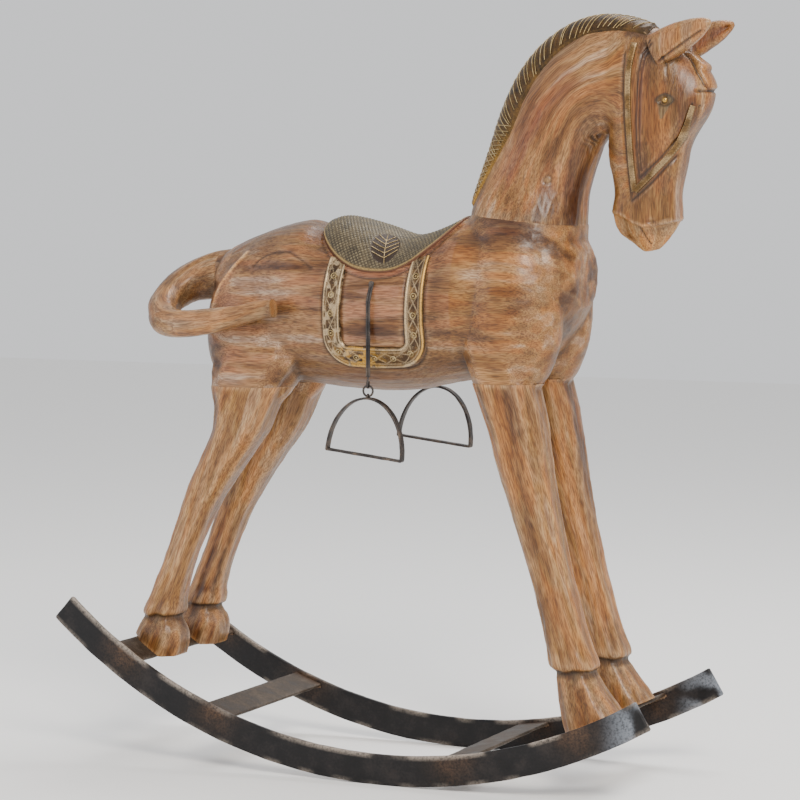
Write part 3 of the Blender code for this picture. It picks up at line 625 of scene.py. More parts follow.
def ear_mass(side):
    """Return one leaf-shaped ear that points forward and up."""
    root, tip, run, high, flat = ear_frame(side)
    return tube("ear", [
        rounded_section(root + (tip - root) * share, flat * half_width, high * half_height, 2, 40)
        for share, half_height, half_width in smooth_rows(EAR_ROWS, 6)
    ])


def forelock_mass():
    """Return the raised lock between the ears, with its square-cut end."""
    start = np.array((FORELOCK_START[0], 0, FORELOCK_START[1]))
    end = np.array((FORELOCK_END[0], 0, FORELOCK_END[1]))
    run = (end - start) / np.linalg.norm(end - start)
    high = np.array((-run[2], 0, run[0])) * FORELOCK_HALF_HEIGHT
    side = np.array((0, FORELOCK_HALF_WIDTH, 0))
    return tube("forelock", [
        rounded_section(start + (end - start) * t, side, high, 4, 40) for t in np.linspace(0, 1, 12)
    ])


def tail_mass():
    """Return the tail, swept along its curl."""
    rows = smooth_rows(TAIL_ROWS, 6)
    rings = []
    for (x, y, z, radius), run in zip(rows, np.gradient(rows[:, :3], axis=0)):
        run = run / np.linalg.norm(run)
        side = np.cross(run, (0, 0, 1))
        side /= np.linalg.norm(side)
        up = np.cross(side, run)
        rings.append(rounded_section((x, y, z), side * radius, up * radius * 1.06, 2.0, 40, 1.06))
    return tube("tail", rings)


def carved_skin(voxel, smoothing):
    """Melt all the masses into one skin, as the carver's block would be."""
    masses = [barrel(), neck_mass(), forelock_mass(), tail_mass()]
    for side in (-1, 1):
        for (x, y, z), size in (SHOULDER, HAUNCH):
            masses.append(ball("muscle", (x, side * y, z), size, 1.0, 48, 28))
        masses.append(leg_mass(FRONT_LEG_ROWS, FRONT_HIP, FRONT_FOOT, side))
        masses.append(leg_mass(HIND_LEG_ROWS, HIND_HIP, HIND_FOOT, side))
        masses.append(ear_mass(side))
    bm = bmesh.new()
    for mass in masses:
        bm.from_mesh(mass.data)
        bpy.data.objects.remove(mass, do_unlink=True)
    skin = from_bmesh("skin", bm)
    melt = skin.modifiers.new("melt", "REMESH")
    melt.mode = "VOXEL"
    melt.voxel_size = voxel
    soften = skin.modifiers.new("soften", "SMOOTH")
    soften.factor = 0.5
    soften.iterations = smoothing
    settled(skin)
    note(skin, "outward", normals_of(skin))
    return skin


def seam_cut(bm, point, normal, near):
    """Cut the skin's faces along a plane, only where near(x, y, z) holds, without parting it."""
    point = Vector(point)
    normal = Vector(normal).normalized()
    faces = []
    for face in bm.faces:
        middle = face.calc_center_median()
        if abs((middle - point).dot(normal)) < 3 * SKIN_VOXEL and near(middle.x, middle.y, middle.z):
            faces.append(face)
    geometry = set(faces)
    for face in faces:
        geometry.update(face.edges)
        geometry.update(face.verts)
    bmesh.ops.bisect_plane(bm, geom=list(geometry), plane_co=point, plane_no=normal, dist=0.0001)


def neck_side(x, z):
    """Return how far a point lies above the neck's seam."""
    (low_x, low_z), (high_x, high_z) = NECK_SEAM
    slope = (high_z - low_z) / (high_x - low_x)
    return z - (low_z + slope * (x - low_x))


def owner(x, y, z):
    """Name the piece that a spot of the skin belongs to."""
    if x > 0.236 and z > 0.6 or neck_side(x, z) > 0 and x > 0.0:
        return "neck_and_head"
    if z > 0.5 and (x < TAIL_SEAM_X or y < -0.0918 and x < -0.13):
        return "tail"
    word = "right" if y < 0 else "left"
    if x > 0.075 and z < FRONT_LEG_SEAM_Z:
        return "front_leg_" + word
    if x < -0.13 and z < HIND_LEG_SEAM_Z:
        return "hind_leg_" + word
    return "torso"


def close_holes(bm):
    """Fill the open edges that a cut left, with a sharp rim."""
    edges = [edge for edge in bm.edges if edge.is_boundary]
    for edge in edges:
        edge.smooth = False
    if edges:
        bmesh.ops.holes_fill(bm, edges=edges, sides=0)


def trim(bm, point, normal):
    """Take off what lies beyond a plane, and close the cut."""
    geometry = list(bm.verts) + list(bm.edges) + list(bm.faces)
    bmesh.ops.bisect_plane(
        bm, geom=geometry, plane_co=point, plane_no=normal, clear_outer=True, dist=0.0001,
    )
    close_holes(bm)


def part_pieces(skin, wanted):
    """Part the skin at its seams, and return the wanted wooden pieces by name."""
    bm = bmesh.new()
    bm.from_mesh(skin.data)
    (low_x, low_z), (high_x, high_z) = NECK_SEAM
    seam_cut(bm, (low_x, 0, low_z), (low_z - high_z, 0, high_x - low_x), lambda x, y, z: 0.03 < x < 0.236)
    seam_cut(bm, (0, 0, FRONT_LEG_SEAM_Z), (0, 0, 1), lambda x, y, z: x > 0.07)
    seam_cut(bm, (0, 0, HIND_LEG_SEAM_Z), (0, 0, 1), lambda x, y, z: x < -0.12)
    seam_cut(bm, (TAIL_SEAM_X, 0, 0), (1, 0, 0), lambda x, y, z: y > -0.075 and z > 0.49)
    bm.faces.ensure_lookup_table()
    owners = [owner(*face.calc_center_median()) for face in bm.faces]
    rear = math.radians(BAR_ANGLES_DEG["crossbar_rear"])
    toe_z = bar_seat("crossbar_rear", HIND_FOOT_SLIDE - HIND_TOE_DROP / math.sin(rear))[1]
    pieces = {}
    for name in wanted:
        part = bm.copy()
        part.faces.ensure_lookup_table()
        drop = [part.faces[i] for i, word in enumerate(owners) if word != name]
        bmesh.ops.delete(part, geom=drop, context="FACES")
        close_holes(part)
        for leg, bar in (("front_leg", "crossbar_front"), ("hind_leg", "crossbar_rear")):
            if name.startswith(leg):
                x, z = bar_seat(bar)
                trim(part, (x, 0, z), tuple(-slope(BAR_ANGLES_DEG[bar])[1]))
        if name.startswith("hind_leg"):
            trim(part, (0, 0, toe_z), (0, 0, -1))
        if name == "tail":
            trim(part, (TAIL_END_X, 0, TAIL_ROWS[-1][2]), (1, 0, 0.1))
        pieces[name] = from_bmesh(name + "_wood", part)
    bm.free()
    return pieces


# Carving: each function moves a piece's points and notes what the stain shows there, painted shade and
# highlights included

def tree_of(item):
    """Return a search tree of an object's surface."""
    bm = bmesh.new()
    bm.from_mesh(item.data)
    tree = BVHTree.FromBMesh(bm)
    bm.free()
    return tree


def closest_run(points, path):
    """Return each point's distance along a path in space, and its offset from it, smoothly."""
    spots = []
    runs = []
    run = 0.0
    for low, high in zip(path, path[1:]):
        line = high - low
        length = np.linalg.norm(line)
        t = np.clip((points - low) @ line / length ** 2, 0, 1)
        spots.append(points - (low + t[:, None] * line))
        runs.append(run + t * length)
        run += length
    away = np.linalg.norm(spots, axis=2)
    share = np.exp(-(away - away.min(axis=0)) / GRAIN_BLEND)
    share /= share.sum(axis=0)
    return (share * runs).sum(axis=0), (share[:, :, None] * spots).sum(axis=0)


def grain_space(name, points):
    """Return places with the first number along the grain of that piece of wood."""
    if name == "neck_and_head":
        rows = np.array(NECK_ROWS[:11])
        middle = in_space((rows[:, 0] + rows[:, 2]) / 2, 0.0, (rows[:, 1] + rows[:, 3]) / 2)
        along, offset = closest_run(points, middle)
        neck = in_space(along, offset[:, 2] - offset[:, 0], points[:, 1])
        face = points[:, [2, 0, 1]] * (-1.0, 1.0, 1.0) + 2.0
        strap_x, strap_z = np.array(STRAP_EDGE).T
        return np.where((points[:, 0] > np.interp(points[:, 2], strap_z, strap_x))[:, None], face, neck)
    if name == "tail":
        along, offset = closest_run(points, smooth_rows(TAIL_ROWS, 2)[:, :3])
        return in_space(along, offset[:, 1] - offset[:, 0], offset[:, 2])
    if "leg" not in name:
        return points + 3.0
    hip, foot = (FRONT_HIP, FRONT_FOOT) if name.startswith("front") else (HIND_HIP, HIND_FOOT)
    run = np.array((hip[0] - foot[0], 0, hip[1] - foot[1]))
    run /= np.linalg.norm(run)
    side = np.array((run[2], 0, -run[0]))
    return in_space(points @ run, points @ side, points[:, 1]) + len(name)


def cut_faces(name, item, scoop, depth):
    """Return a piece's points, outward directions and grain, and its lift by gouge marks and fibres."""
    points = points_of(item)
    grain = grain_space(name, points)
    marks = gouge_marks(grain / (scoop * 3.2, scoop, scoop), 1.0, 2)
    broad = mottle(grain / (0.06, 0.016, 0.016), 1.0, 5) - 0.5
    fibres = mottle(grain / (0.03, 0.0042, 0.0042), 1.0, 9) - 0.5
    lift = depth * (0.8 * marks ** 2 - 0.35) + 0.0011 * broad + 0.0005 * fibres
    return points, outward_of(item), grain, lift


def crests_and_hollows(item, moved, narrow, broad):
    """Move a piece's points, and return its sharp crests from 0 to 1 and the depth of its wide hollows."""
    move_points(item, moved)
    return np.clip(-hollows(item, narrow) / CREST_HEIGHT, 0, 1), hollows(item, broad)


def patchy(points):
    """Return 0 to 1 in patches along a seam, where dirt has stayed."""
    return step_up(mottle(points, 0.015, 14), 0.35, 0.65)


CREST_HEIGHT = 0.0003
SEAM_SINK = 0.0003
STRAP_EDGE = ((0.2717, 0.684), (0.2679, 0.728), (0.264, 0.78), (0.2647, 0.852))


LIP_LINE = (
    (0.248, 0.67), (0.26, 0.6665), (0.27, 0.66), (0.284, 0.6552), (0.2975, 0.6562),
    (0.309, 0.6587), (0.321, 0.6623), (0.333, 0.664),
)
MOUTH_SLIT = ((0.279, 0.655), (0.283, 0.646), (0.2885, 0.634))
NOSTRIL_PLACE = (0.296, 0.66)
BROW_LINE = ((0.312, 0.848), (0.314, 0.8425), (0.316, 0.825), (0.318, 0.808))
EAR_CREASE = ((0.308, 0.843), (0.3137, 0.847), (0.3376, 0.8625), (0.3602, 0.8767))
CHEEK_GROOVE = ((0.2647, 0.8522), (0.2633, 0.8305), (0.264, 0.7804), (0.2679, 0.728), (0.2717, 0.6842))
NOSE_GROOVE = ((0.2717, 0.6842), (0.2976, 0.7062), (0.3206, 0.7302), (0.3434, 0.7584), (0.3523, 0.7929))
INNER_GROOVE = (
    (0.2972, 0.867), (0.2857, 0.852), (0.2819, 0.8303), (0.2797, 0.7716), (0.2807, 0.728), (0.2825, 0.7105),
    (0.309, 0.7345), (0.3319, 0.7606), (0.3454, 0.7951),
)
SECOND_GROOVE = (
    (0.3, 0.864), (0.2888, 0.849), (0.2856, 0.8281), (0.2839, 0.7716), (0.2842, 0.728), (0.2855, 0.719),
)
CREST_LINE = ((0.092, 0.7), (0.112, 0.76), (0.136, 0.812), (0.17, 0.848), (0.212, 0.868), (0.256, 0.872))
NECK_BAND = ((0.1987, 0.8244), (0.1656, 0.7895), (0.1442, 0.7543), (0.1274, 0.7145))
LOCK_HALF_WIDTHS = ((0.8115, 0.01), (0.816, 0.0158), (0.83, 0.0165), (0.846, 0.012))
LOCK_END_Z = 0.8115
NOTCH_Z = 0.8095
EYE_HALF = (0.0098, 0.0066)
TEAR_TIP = (0.3105, 0.779)
HAUNCH_LINE = (
    (-0.195, 0.604), (-0.186, 0.613), (-0.169, 0.62), (-0.15, 0.6215), (-0.135, 0.6155),
    (-0.114, 0.6033),
)
RUMP_RIDGE = (
    (-0.211, 0.619), (-0.219, 0.609), (-0.229, 0.596), (-0.24, 0.579), (-0.247, 0.562),
    (-0.25, 0.55),
)
THROAT_FOLD = (0.222, 0.757)
THROAT_SHADE = (0.224, 0.762)
NECK_KNOT = (0.1745, 0.7085)


def carve_head(item):
    """Carve the muzzle, nostrils, mouth, eyes, brows, ears, forelock, bridle bed and throat."""
    points, normals, grain, lift = cut_faces("neck_and_head", item, 0.012, 0.0007)
    x, y, z = points.T
    flat = points[:, [0, 2]]
    facing = np.abs(normals[:, 1])
    cheek = step_up(facing, 0.25, 0.6)
    head = step_up(x, 0.238, 0.246)
    lift *= 1 - 0.6 * head

    # The wood stands proud between the two carved lines that hold the straps
    outer = np.minimum(line_distance(flat, CHEEK_GROOVE)[0], line_distance(flat, NOSE_GROOVE)[0])
    inner = line_distance(flat, INNER_GROOVE)[0]
    second = line_distance(flat, SECOND_GROOVE)[0]
    bed_line = np.minimum(line_distance(flat, CHEEK_BAND)[0], line_distance(flat, NOSE_BAND)[0])
    bed = 1 - step_up(bed_line, 0.0075, 0.0095)
    lines = np.maximum(bell(outer, 0.0014), bell(inner, 0.0013))
    lines = np.maximum(lines, 0.85 * bell(second, 0.0011))
    lift -= (0.0004 * bed + 0.0016 * lines) * cheek * head

    # Below the lip line the muzzle is a whittled wedge
    lip_z = np.interp(x, *np.array(LIP_LINE).T)
    below = step_up(lip_z - z, 0.0, 0.0022) * (x > 0.24) * (z < 0.68)
    wedge = 0.0215 - np.maximum(lip_z - z, 0) * 0.55
    limit = np.maximum(0.0015, wedge - 0.45 * np.maximum(x - 0.286, 0))
    squeezed = np.where(np.abs(y) > limit, np.sign(y) * limit, y)
    whittled = in_space(x, y * (1 - below) + squeezed * below, z)
    lift -= 0.0009 * below
    lift += 0.0008 * bell(z - lip_z - 0.0022, 0.002) * (x > 0.245) * (z < 0.68)
    slit = groove(flat, MOUTH_SLIT, 0.0009) * step_up(facing, 0.3, 0.6)
    lift -= 0.0022 * slit
    nostril = oval(x - NOSTRIL_PLACE[0], 0.0042, z - NOSTRIL_PLACE[1], 0.0026) * (np.abs(y) > 0.008)
    lift -= 0.003 * nostril

    # Eye: a shallow almond with a rim, and the grey tear below it
    eye_x = (x - EYE_PLACE[0]) / EYE_HALF[0]
    eye_z = (z - EYE_PLACE[1]) / EYE_HALF[1]
    almond = np.sqrt(eye_x ** 2 + eye_z ** 2 + 0.9 * np.abs(eye_x * eye_z) * 0.5)
    lift -= 0.002 * (1 - step_up(almond, 0.55, 1.0)) * cheek * head
    lift += 0.0003 * bell(almond - 1.12, 0.16) * cheek * head
    tear_share = np.clip((EYE_PLACE[1] - z) / (EYE_PLACE[1] - TEAR_TIP[1]), 0, 1)
    tear_x = EYE_PLACE[0] + (TEAR_TIP[0] - EYE_PLACE[0]) * tear_share
    tear_half = 0.0075 * (1 - tear_share) + 0.0006
    tear = 1 - step_up(np.abs(x - tear_x), tear_half, tear_half + 0.0015)
    tear *= (z < EYE_PLACE[1]) & (z > TEAR_TIP[1])
    lift -= 0.0009 * tear * cheek

    # Brow line, the crease under each ear, and the ear's hollow on its inner face
    brow = groove(flat, BROW_LINE, 0.0016) * cheek * step_up(z, 0.806, 0.84)
    lift -= 0.001 * brow
    crease = groove(flat, EAR_CREASE, 0.0013) * (np.abs(y) > 0.02) * step_up(facing, 0.2, 0.5)
    crease *= normals[:, 1] * np.sign(y) > 0
    lift -= 0.0024 * crease
    ear_hollow = np.zeros(len(points))
    for side in (-1, 1):
        root, tip, run, high, across = ear_frame(side)
        share = (points - root) @ run / np.linalg.norm(tip - root)
        height = (points - root) @ high
        half = np.interp(share, [0, 0.35, 0.7, 0.9, 1.0], [0.013, 0.013, 0.01, 0.005, 0.001])
        inside = np.clip(1 - (height + 0.002) ** 2 / np.maximum(half, 0.001) ** 2, 0, 1)
        inside *= between(share, 0.2, 0.34, 0.9, 0.98)
        inside *= step_up(-normals[:, 1] * side, 0.15, 0.5) * (y * side > 0.008)
        ear_hollow = np.maximum(ear_hollow, inside)
    lift -= 0.006 * ear_hollow

    # The forelock's lower end lies proud on the forehead, over an undercut
    lock_half = np.interp(z, *np.array(LOCK_HALF_WIDTHS).T)
    lock_edge = np.minimum(lock_half - np.abs(y), z - LOCK_END_Z)
    on_brow = step_up(x, 0.322, 0.332) * (z < 0.853) * (z > 0.8)
    tab = step_up(lock_edge, 0.0, 0.002) * on_brow
    lock_line = bell(lock_edge + 0.0012, 0.0012) * on_brow * (np.abs(y) < 0.022)
    lift += 0.0024 * tab - 0.002 * lock_line
    notch = bell(z - NOTCH_Z, 0.0015) * step_up(x, 0.346, 0.352)
    lift -= 0.0024 * notch

    # Folds at the throat, the knot on the neck, and the seam's edge
    fold = oval(x - THROAT_FOLD[0], 0.01, z - THROAT_FOLD[1], 0.016) * cheek * (x < 0.246)
    folds = 0.5 + 0.5 * np.sin((x * 0.87 + z * 0.35) * 2 * np.pi / 0.0068 + 9 * mottle(points, 0.009, 3))
    folds *= step_up(mottle(points, 0.007, 13), 0.3, 0.65)
    lift -= 0.0024 * fold * folds
    knot = np.hypot(x - NECK_KNOT[0], z - NECK_KNOT[1])
    lift -= 0.001 * bell(knot - 0.0045, 0.0009) * cheek
    seam = neck_side(x, z)
    lift -= SEAM_SINK * bell(seam, 0.0014)
    pale, wide = crests_and_hollows(item, whittled + normals * lift[:, None], 3, 14)

    # Near-black in the cut lines, dirt in patches along the seam, grey wash in hollows, the worn and stained
    # places, and painted shade in the deeper hollows
    dark = lines * cheek * head * 0.9 + slit + 0.8 * crease + 0.7 * brow + notch * 0.8 + 0.5 * nostril
    dark = np.clip(dark, 0, 1)
    dark = np.maximum(dark, 0.3 * bell(seam, 0.001) * patchy(points))
    dark = np.maximum(dark, np.maximum(0.6 * fold * folds, 0.85 * lock_line))
    dark = np.maximum(dark, 0.85 * bell(almond - 1.05, 0.22) * cheek * head)
    wash = np.clip(wide / 0.001, 0, 1) * 0.8 + 0.8 * fold
    wash += 2.0 * tear * cheek + 2.5 * (almond < 1.05) * cheek * head
    wash += 0.75 * bell(seam - 0.004, 0.006) + 1.2 * bell(knot, 0.0042) * cheek
    wash += 0.62 * groove(flat, CREST_LINE, 0.015) * cheek
    pale = pale * 0.35 * (1 - cheek * head * (bed > 0.1)) * (almond > 1.6)
    pale += 0.98 * bell(z - lip_z - 0.0008, 0.001) * (x > 0.245) * (z < 0.676) * mottle(points, 0.006, 17)
    pale = np.maximum(pale, 0.5 * below)
    strip = bell(np.minimum(inner, second), 0.0026) * cheek * head * (x < 0.29)
    red = np.clip(1.0 * ear_hollow + 0.9 * strip, 0, 1)
    red = np.maximum(red, 0.75 * groove(flat, NECK_BAND, 0.013) * cheek)
    # Painted shade: the throat, the eye's socket and the deeper hollows are darkened; on the sides of the
    # head the same mark only darkens the tone
    throat = oval(x - THROAT_SHADE[0], 0.014, z - THROAT_SHADE[1], 0.02) * cheek * (x < 0.262)
    socket = bell(almond - 0.85, 0.28) * cheek * head
    shade_and_umber = np.clip(0.9 * throat + 0.5 * socket + np.clip(wide / 0.0012, 0, 1), 0, 1)
    # Painted shade on the poll, darkening the bright spot the top light makes there
    poll = between(x, 0.258, 0.264, 0.288, 0.294) * step_up(z, 0.866, 0.874) * (np.abs(y) < 0.03)
    shade_and_umber = np.maximum(np.maximum(shade_and_umber, 1.2 * poll), 0.28 * cheek * head * (1 - below))
    ochre = np.maximum(np.clip(tab + below * 1.6, 0, 1.6), cheek * (0.3 + 0.45 * head))
    return grain, dark, wash, pale, ochre, red, 0.15 * cheek, shade_and_umber


def carve_torso(item):
    """Carve the haunch line, the ridge beside the tail, and the border's and saddle's edges."""
    points, normals, grain, lift = cut_faces("torso", item, 0.017, 0.0008)
    x, y, z = points.T
    flat = points[:, [0, 2]]
    flank = step_up(np.abs(normals[:, 1]), 0.25, 0.6)
    haunch = groove(flat, smooth_rows(HAUNCH_LINE, 5), 0.0013) * (np.abs(y) > 0.03)
    lift -= 0.0014 * haunch
    away, along = line_distance(flat, smooth_rows(RUMP_RIDGE, 5))
    ridge = bell(away, 0.0022) * (np.abs(y) > 0.02)
    lift += 0.0024 * ridge
    border = line_distance(flat, border_path())[0]
    edge = bell(border - BORDER_WIDTH / 2 - 0.0006, 0.0013) * flank * (z < 0.6)
    lift -= 0.0016 * edge
    panel = (1 - step_up(np.abs(x + 0.027), 0.036, 0.04)) * step_up(z, 0.509, 0.513) * flank * (z < 0.61)
    lift += 0.001 * panel
    # A pad of wood rims the saddle
    seat_turn = np.degrees(np.arctan2(np.abs(y), z - BACK_AXIS_Z))
    seat_reach = column(SEAT_TABLE, x, 1)
    inside = (x > SEAT_ROWS[0][0] - 0.003) & (x < SEAT_ROWS[-1][0] + 0.003)
    rim = np.where(inside, (seat_turn - seat_reach) * math.pi / 180 * SEAT_ARC_RADIUS, 0.05)
    lift += 0.0018 * (1 - step_up(rim, 0.0032, 0.005)) * (rim > -0.02) * (z > 0.56)
    lift -= 0.0012 * bell(rim - 0.006, 0.0011)
    seam = np.abs(neck_side(x, z)) + 9.0 * (x < 0)
    leg_seam = np.abs(z - np.where(x > 0.05, FRONT_LEG_SEAM_Z, HIND_LEG_SEAM_Z))
    leg_seam += 9.0 * (np.abs(x + 0.02) < 0.09)
    tail_seam = np.abs(x - TAIL_SEAM_X) + 9.0 * (z < 0.54)
    any_seam = np.minimum(np.minimum(seam, leg_seam), tail_seam)
    lift -= SEAM_SINK * bell(any_seam, 0.0015)
    pale, wide = crests_and_hollows(item, points + normals * lift[:, None], 3, 10)

    upward = normals[:, 2]
    dark = np.clip(0.75 * haunch + 0.8 * edge + 0.9 * bell(rim - 0.006, 0.0012), 0, 1)
    dark = np.maximum(dark, 0.3 * bell(any_seam, 0.001) * patchy(points))
    chest = oval(z - 0.575, 0.04, x - 0.182, 0.022)
    wash = np.clip(wide / 0.0012, 0, 1) * 0.7 + 0.88 * chest * mottle(points, 0.014, 4)
    wash += 0.6 * bell(tail_seam - 0.006, 0.01) + 0.55 * bell(seam, 0.007)
    wash += 0.8 * bell(border - BORDER_WIDTH / 2 - 0.004, 0.004) * flank * (z < 0.6) * mottle(points, 0.02, 6)
    wash += 0.4 * step_up(-upward, 0.2, 0.8)
    # Painted highlight: a pale line along the rump ridge, over faintly pale crests
    pale = pale * 0.2 + 1.6 * bell(away, 0.0016) * (np.abs(y) > 0.02)
    # Painted shade: the tail's shadow on the haunch, a dark band beside the border's front edge, the hollows,
    # the top of the rump against the top light, and the underside
    tail_shade = oval(x + 0.152, 0.016, z - 0.552, 0.016) * (y < 0)
    front_shade = bell(x - 0.053, 0.013) * np.exp(-((z - 0.58) / 0.05) ** 4) * flank
    rump_top = step_up(upward, 0.35, 0.85) * (1 - step_up(x, -0.098, -0.09)) * (x > -0.24)
    shade_and_umber = 0.9 * tail_shade + 0.75 * front_shade + np.clip(wide / 0.0012, 0, 1)
    shade_and_umber = np.clip(shade_and_umber + 0.95 * rump_top + 0.55 * step_up(-upward, 0.05, 0.7), 0, 1)
    ochre = 0.7 * step_up(upward, 0.5, 0.9) + 0.6 * step_up(-upward, 0.1, 0.7) + 0.35 * (x > 0.07)
    red = np.clip(0.95 * (1 - step_up(np.abs(rim - 0.0018), 0.002, 0.0032)) * (z > 0.56), 0, 1)
    pink = np.clip(0.8 * panel + 0.45 * flank * (x < 0.07), 0, 1)
    return grain, dark, wash, pale, np.clip(ochre, 0, 1), red, pink, shade_and_umber


def carve_leg(name, item):
    """Carve the whittled faces, the cuff's ragged edge and the fetlock's filler."""
    points, normals, grain, lift = cut_faces(name, item, 0.013, 0.0011)
    x, y, z = points.T
    front = name.startswith("front")
    if front:
        hip, foot, seam_z, neck_share = FRONT_HIP, FRONT_FOOT, FRONT_LEG_SEAM_Z, 0.148
    else:
        hip, foot, seam_z, neck_share = HIND_HIP, HIND_FOOT, HIND_LEG_SEAM_Z, 0.117
    share = (z - foot[1]) / (hip[1] - foot[1])
    above_neck = share - neck_share
    ragged = share + 0.012 * (mottle(points, 0.012, 8) - 0.5) - neck_share
    lift += 0.0012 * step_up(ragged, 0.006, 0.016) * (1 - step_up(above_neck, 0.03, 0.07))
    lift -= 0.0015 * bell(ragged, 0.01) + SEAM_SINK * bell(seam_z - z, 0.0014) * (z > seam_z - 0.02)
    moved = points + normals * lift[:, None]
    moved[:, 2] = np.minimum(moved[:, 2], seam_z)
    sole = (np.abs(normals[:, 2]) > 0.75) & (z < foot[1] + 0.05)
    moved[sole] = points[sole]
    pale, wide = crests_and_hollows(item, moved, 4, 16)
    wash = np.clip(wide / 0.0008, 0, 1) * 0.6 + 0.75 * bell(above_neck + 0.01, 0.035)
    wash += 0.54 * step_up(mottle(grain / (0.075, 0.018, 0.018), 1.0, 12), 0.62, 0.8)
    if not front:
        wash += 0.45 * oval(share - 0.8, 0.15, x - hip[0] - 0.028, 0.02)
    none = np.zeros(len(x))
    # Painted shade in the hollows; the rest of the mark is a darker tone, more on the hoof
    shade_and_umber = np.clip(0.12 + 0.8 * np.clip(wide / 0.0009, 0, 1) + 0.35 * (above_neck < 0), 0, 1)
    dark = 0.8 * bell(ragged - 0.004, 0.006)
    return grain, dark, wash, 0.55 * pale, 0.7 + 0.2 * (share < 0.14), none, none, shade_and_umber


def carve_tail(item):
    """Carve the tail's long whittled faces."""
    points, normals, grain, lift = cut_faces("tail", item, 0.01, 0.0007)
    x, y, z = points.T
    seam = np.abs(x - TAIL_SEAM_X) + 9.0 * (y < -0.07)
    lift -= 0.0005 * bell(seam, 0.0015)
    pale, wide = crests_and_hollows(item, points + normals * lift[:, None], 4, 12)
    wash = np.clip(wide / 0.0008, 0, 1) * 0.7 + 0.7 * bell(seam - 0.006, 0.014)
    wash += 0.7 * step_up(normals[:, 0], 0.4, 0.9) * (x < -0.28) * (y > -0.1)
    wash += 0.45 * step_up(mottle(points, 0.03, 15), 0.55, 0.75)
    none = np.zeros(len(x))
    shade_and_umber = 0.25 + 0.5 * step_up(mottle(points, 0.024, 16), 0.35, 0.65) + 0.5 * step_up(x, -0.16, -0.154)
    return grain, 0.3 * bell(seam, 0.0012), wash, 0.35 * pale, 0.5 + none, none, none, np.clip(shade_and_umber, 0, 1)


def border_path():
    """Return the middle line of the U with its rounded lower corners, in X and Z."""
    r = BORDER_CORNER_RADIUS
    low = BORDER_BOTTOM_Z + r
    points = [(BORDER_REAR_X, z) for z in np.linspace(BORDER_TOP_Z, low, 12, endpoint=False)]
    turns = np.linspace(np.pi, 1.5 * np.pi, 10)
    points += [(BORDER_REAR_X + r + r * np.cos(turn), low + r * np.sin(turn)) for turn in turns]
    points += [(x, BORDER_BOTTOM_Z) for x in np.linspace(BORDER_REAR_X + r, BORDER_FRONT_X - r, 8)[1:-1]]
    turns = np.linspace(1.5 * np.pi, 2 * np.pi, 10)
    points += [(BORDER_FRONT_X - r + r * np.cos(turn), low + r * np.sin(turn)) for turn in turns]
    points += [(BORDER_FRONT_X, z) for z in np.linspace(low, BORDER_TOP_Z, 12)[1:]]
    return np.array(points)


# Sheet brass: closed shells with dense outer faces, laid on the wood

def skin_points(tree, origins, directions):
    """Return where lines from inside the horse meet its skin."""
    hits = []
    for origin, run in zip(origins, directions):
        hit = tree.ray_cast(Vector(origin), Vector(run))[0]
        hits.append(origin if hit is None else hit)
    return np.array(hits)


def grid_of(first, second):
    """Return the places of a grid, row after row."""
    return [grid.ravel() for grid in np.meshgrid(first, second, indexing="ij")]


def clad(name, rows, outer, inner, **marks):
    """Close dense outer rows over sparse inner ones, and note marks on the outer side."""
    outer = outer.reshape(rows, -1, 3)
    inner = inner.reshape(rows, -1, 3)
    item = tube(name, np.concatenate([outer, inner[:, ::-1]], axis=1))
    columns = outer.shape[1]
    for word, values in marks.items():
        grid = np.zeros((rows, columns + inner.shape[1]))
        grid[:, :columns] = values.reshape(rows, columns)
        note(item, word, np.append(grid, (0.0, 0.0)))
    return item


def mane_places(tree, share, turn):
    """Return skin places and outward runs for a share along the crest and a turn across it, -1 to 1."""
    rows = rows_at(NECK_ROWS, MANE_FIRST_ROW + (MANE_LAST_ROW - MANE_FIRST_ROW) * share)
    crest = in_space(rows[:, 0], 0.0, rows[:, 1])
    throat = in_space(rows[:, 2], 0.0, rows[:, 3])
    up = crest - throat
    length = np.linalg.norm(up, axis=1)
    up /= length[:, None]
    origins = crest - up * np.minimum(length / 2, 0.06)[:, None]
    reach = np.radians(np.interp(share, *np.array(MANE_REACH_DEG).T)) * turn
    runs = up * np.cos(reach)[:, None] + np.array((0, 1, 0)) * np.sin(reach)[:, None]
    return skin_points(tree, origins, runs), runs


MANE_LENGTH = 0.4
MANE_SLANT = 0.021
SHEET_LET_IN = 0.0025


def mane_piece(tree):
    """Return the crest of embossed brass, with rolled lower edges and slanting locks."""
    share = np.linspace(0, 1, 480)
    s, t = grid_of(share, np.linspace(-1, 1, 41))
    skin, runs = mane_places(tree, s, t)
    slant = s * MANE_LENGTH + np.abs(t) * MANE_SLANT
    wave = 0.5 + 0.5 * np.cos(2 * np.pi * slant / MANE_LINE_STEP + 1.5 * mottle(skin, 0.02, 22))
    rolled = bell(np.abs(t) - 0.955, 0.022)
    fall = np.sqrt(np.clip(1 - np.abs(t) ** 10, 0, 1))
    fall *= 0.3 + 0.7 * np.minimum(step_up(s, 0, 0.012), 1 - step_up(s, 0.985, 1.0))
    proud = (MANE_PROUD - 0.0006 + 0.0005 * wave * (np.abs(t) < 0.84) + 0.0008 * rolled) * fall
    proud += 0.0006 * (mottle(skin, 0.012, 21) - 0.5)
    under, under_runs = mane_places(tree, *grid_of(share, np.linspace(-1, 1, 7)))
    return clad(
        "mane_brass", len(share), skin + runs * proud[:, None], under - under_runs * SHEET_LET_IN,
        high=0.2 * wave * (s < 0.8) + 0.2 * rolled, gold=1 - step_up(s, 0.02, 0.42),
    )


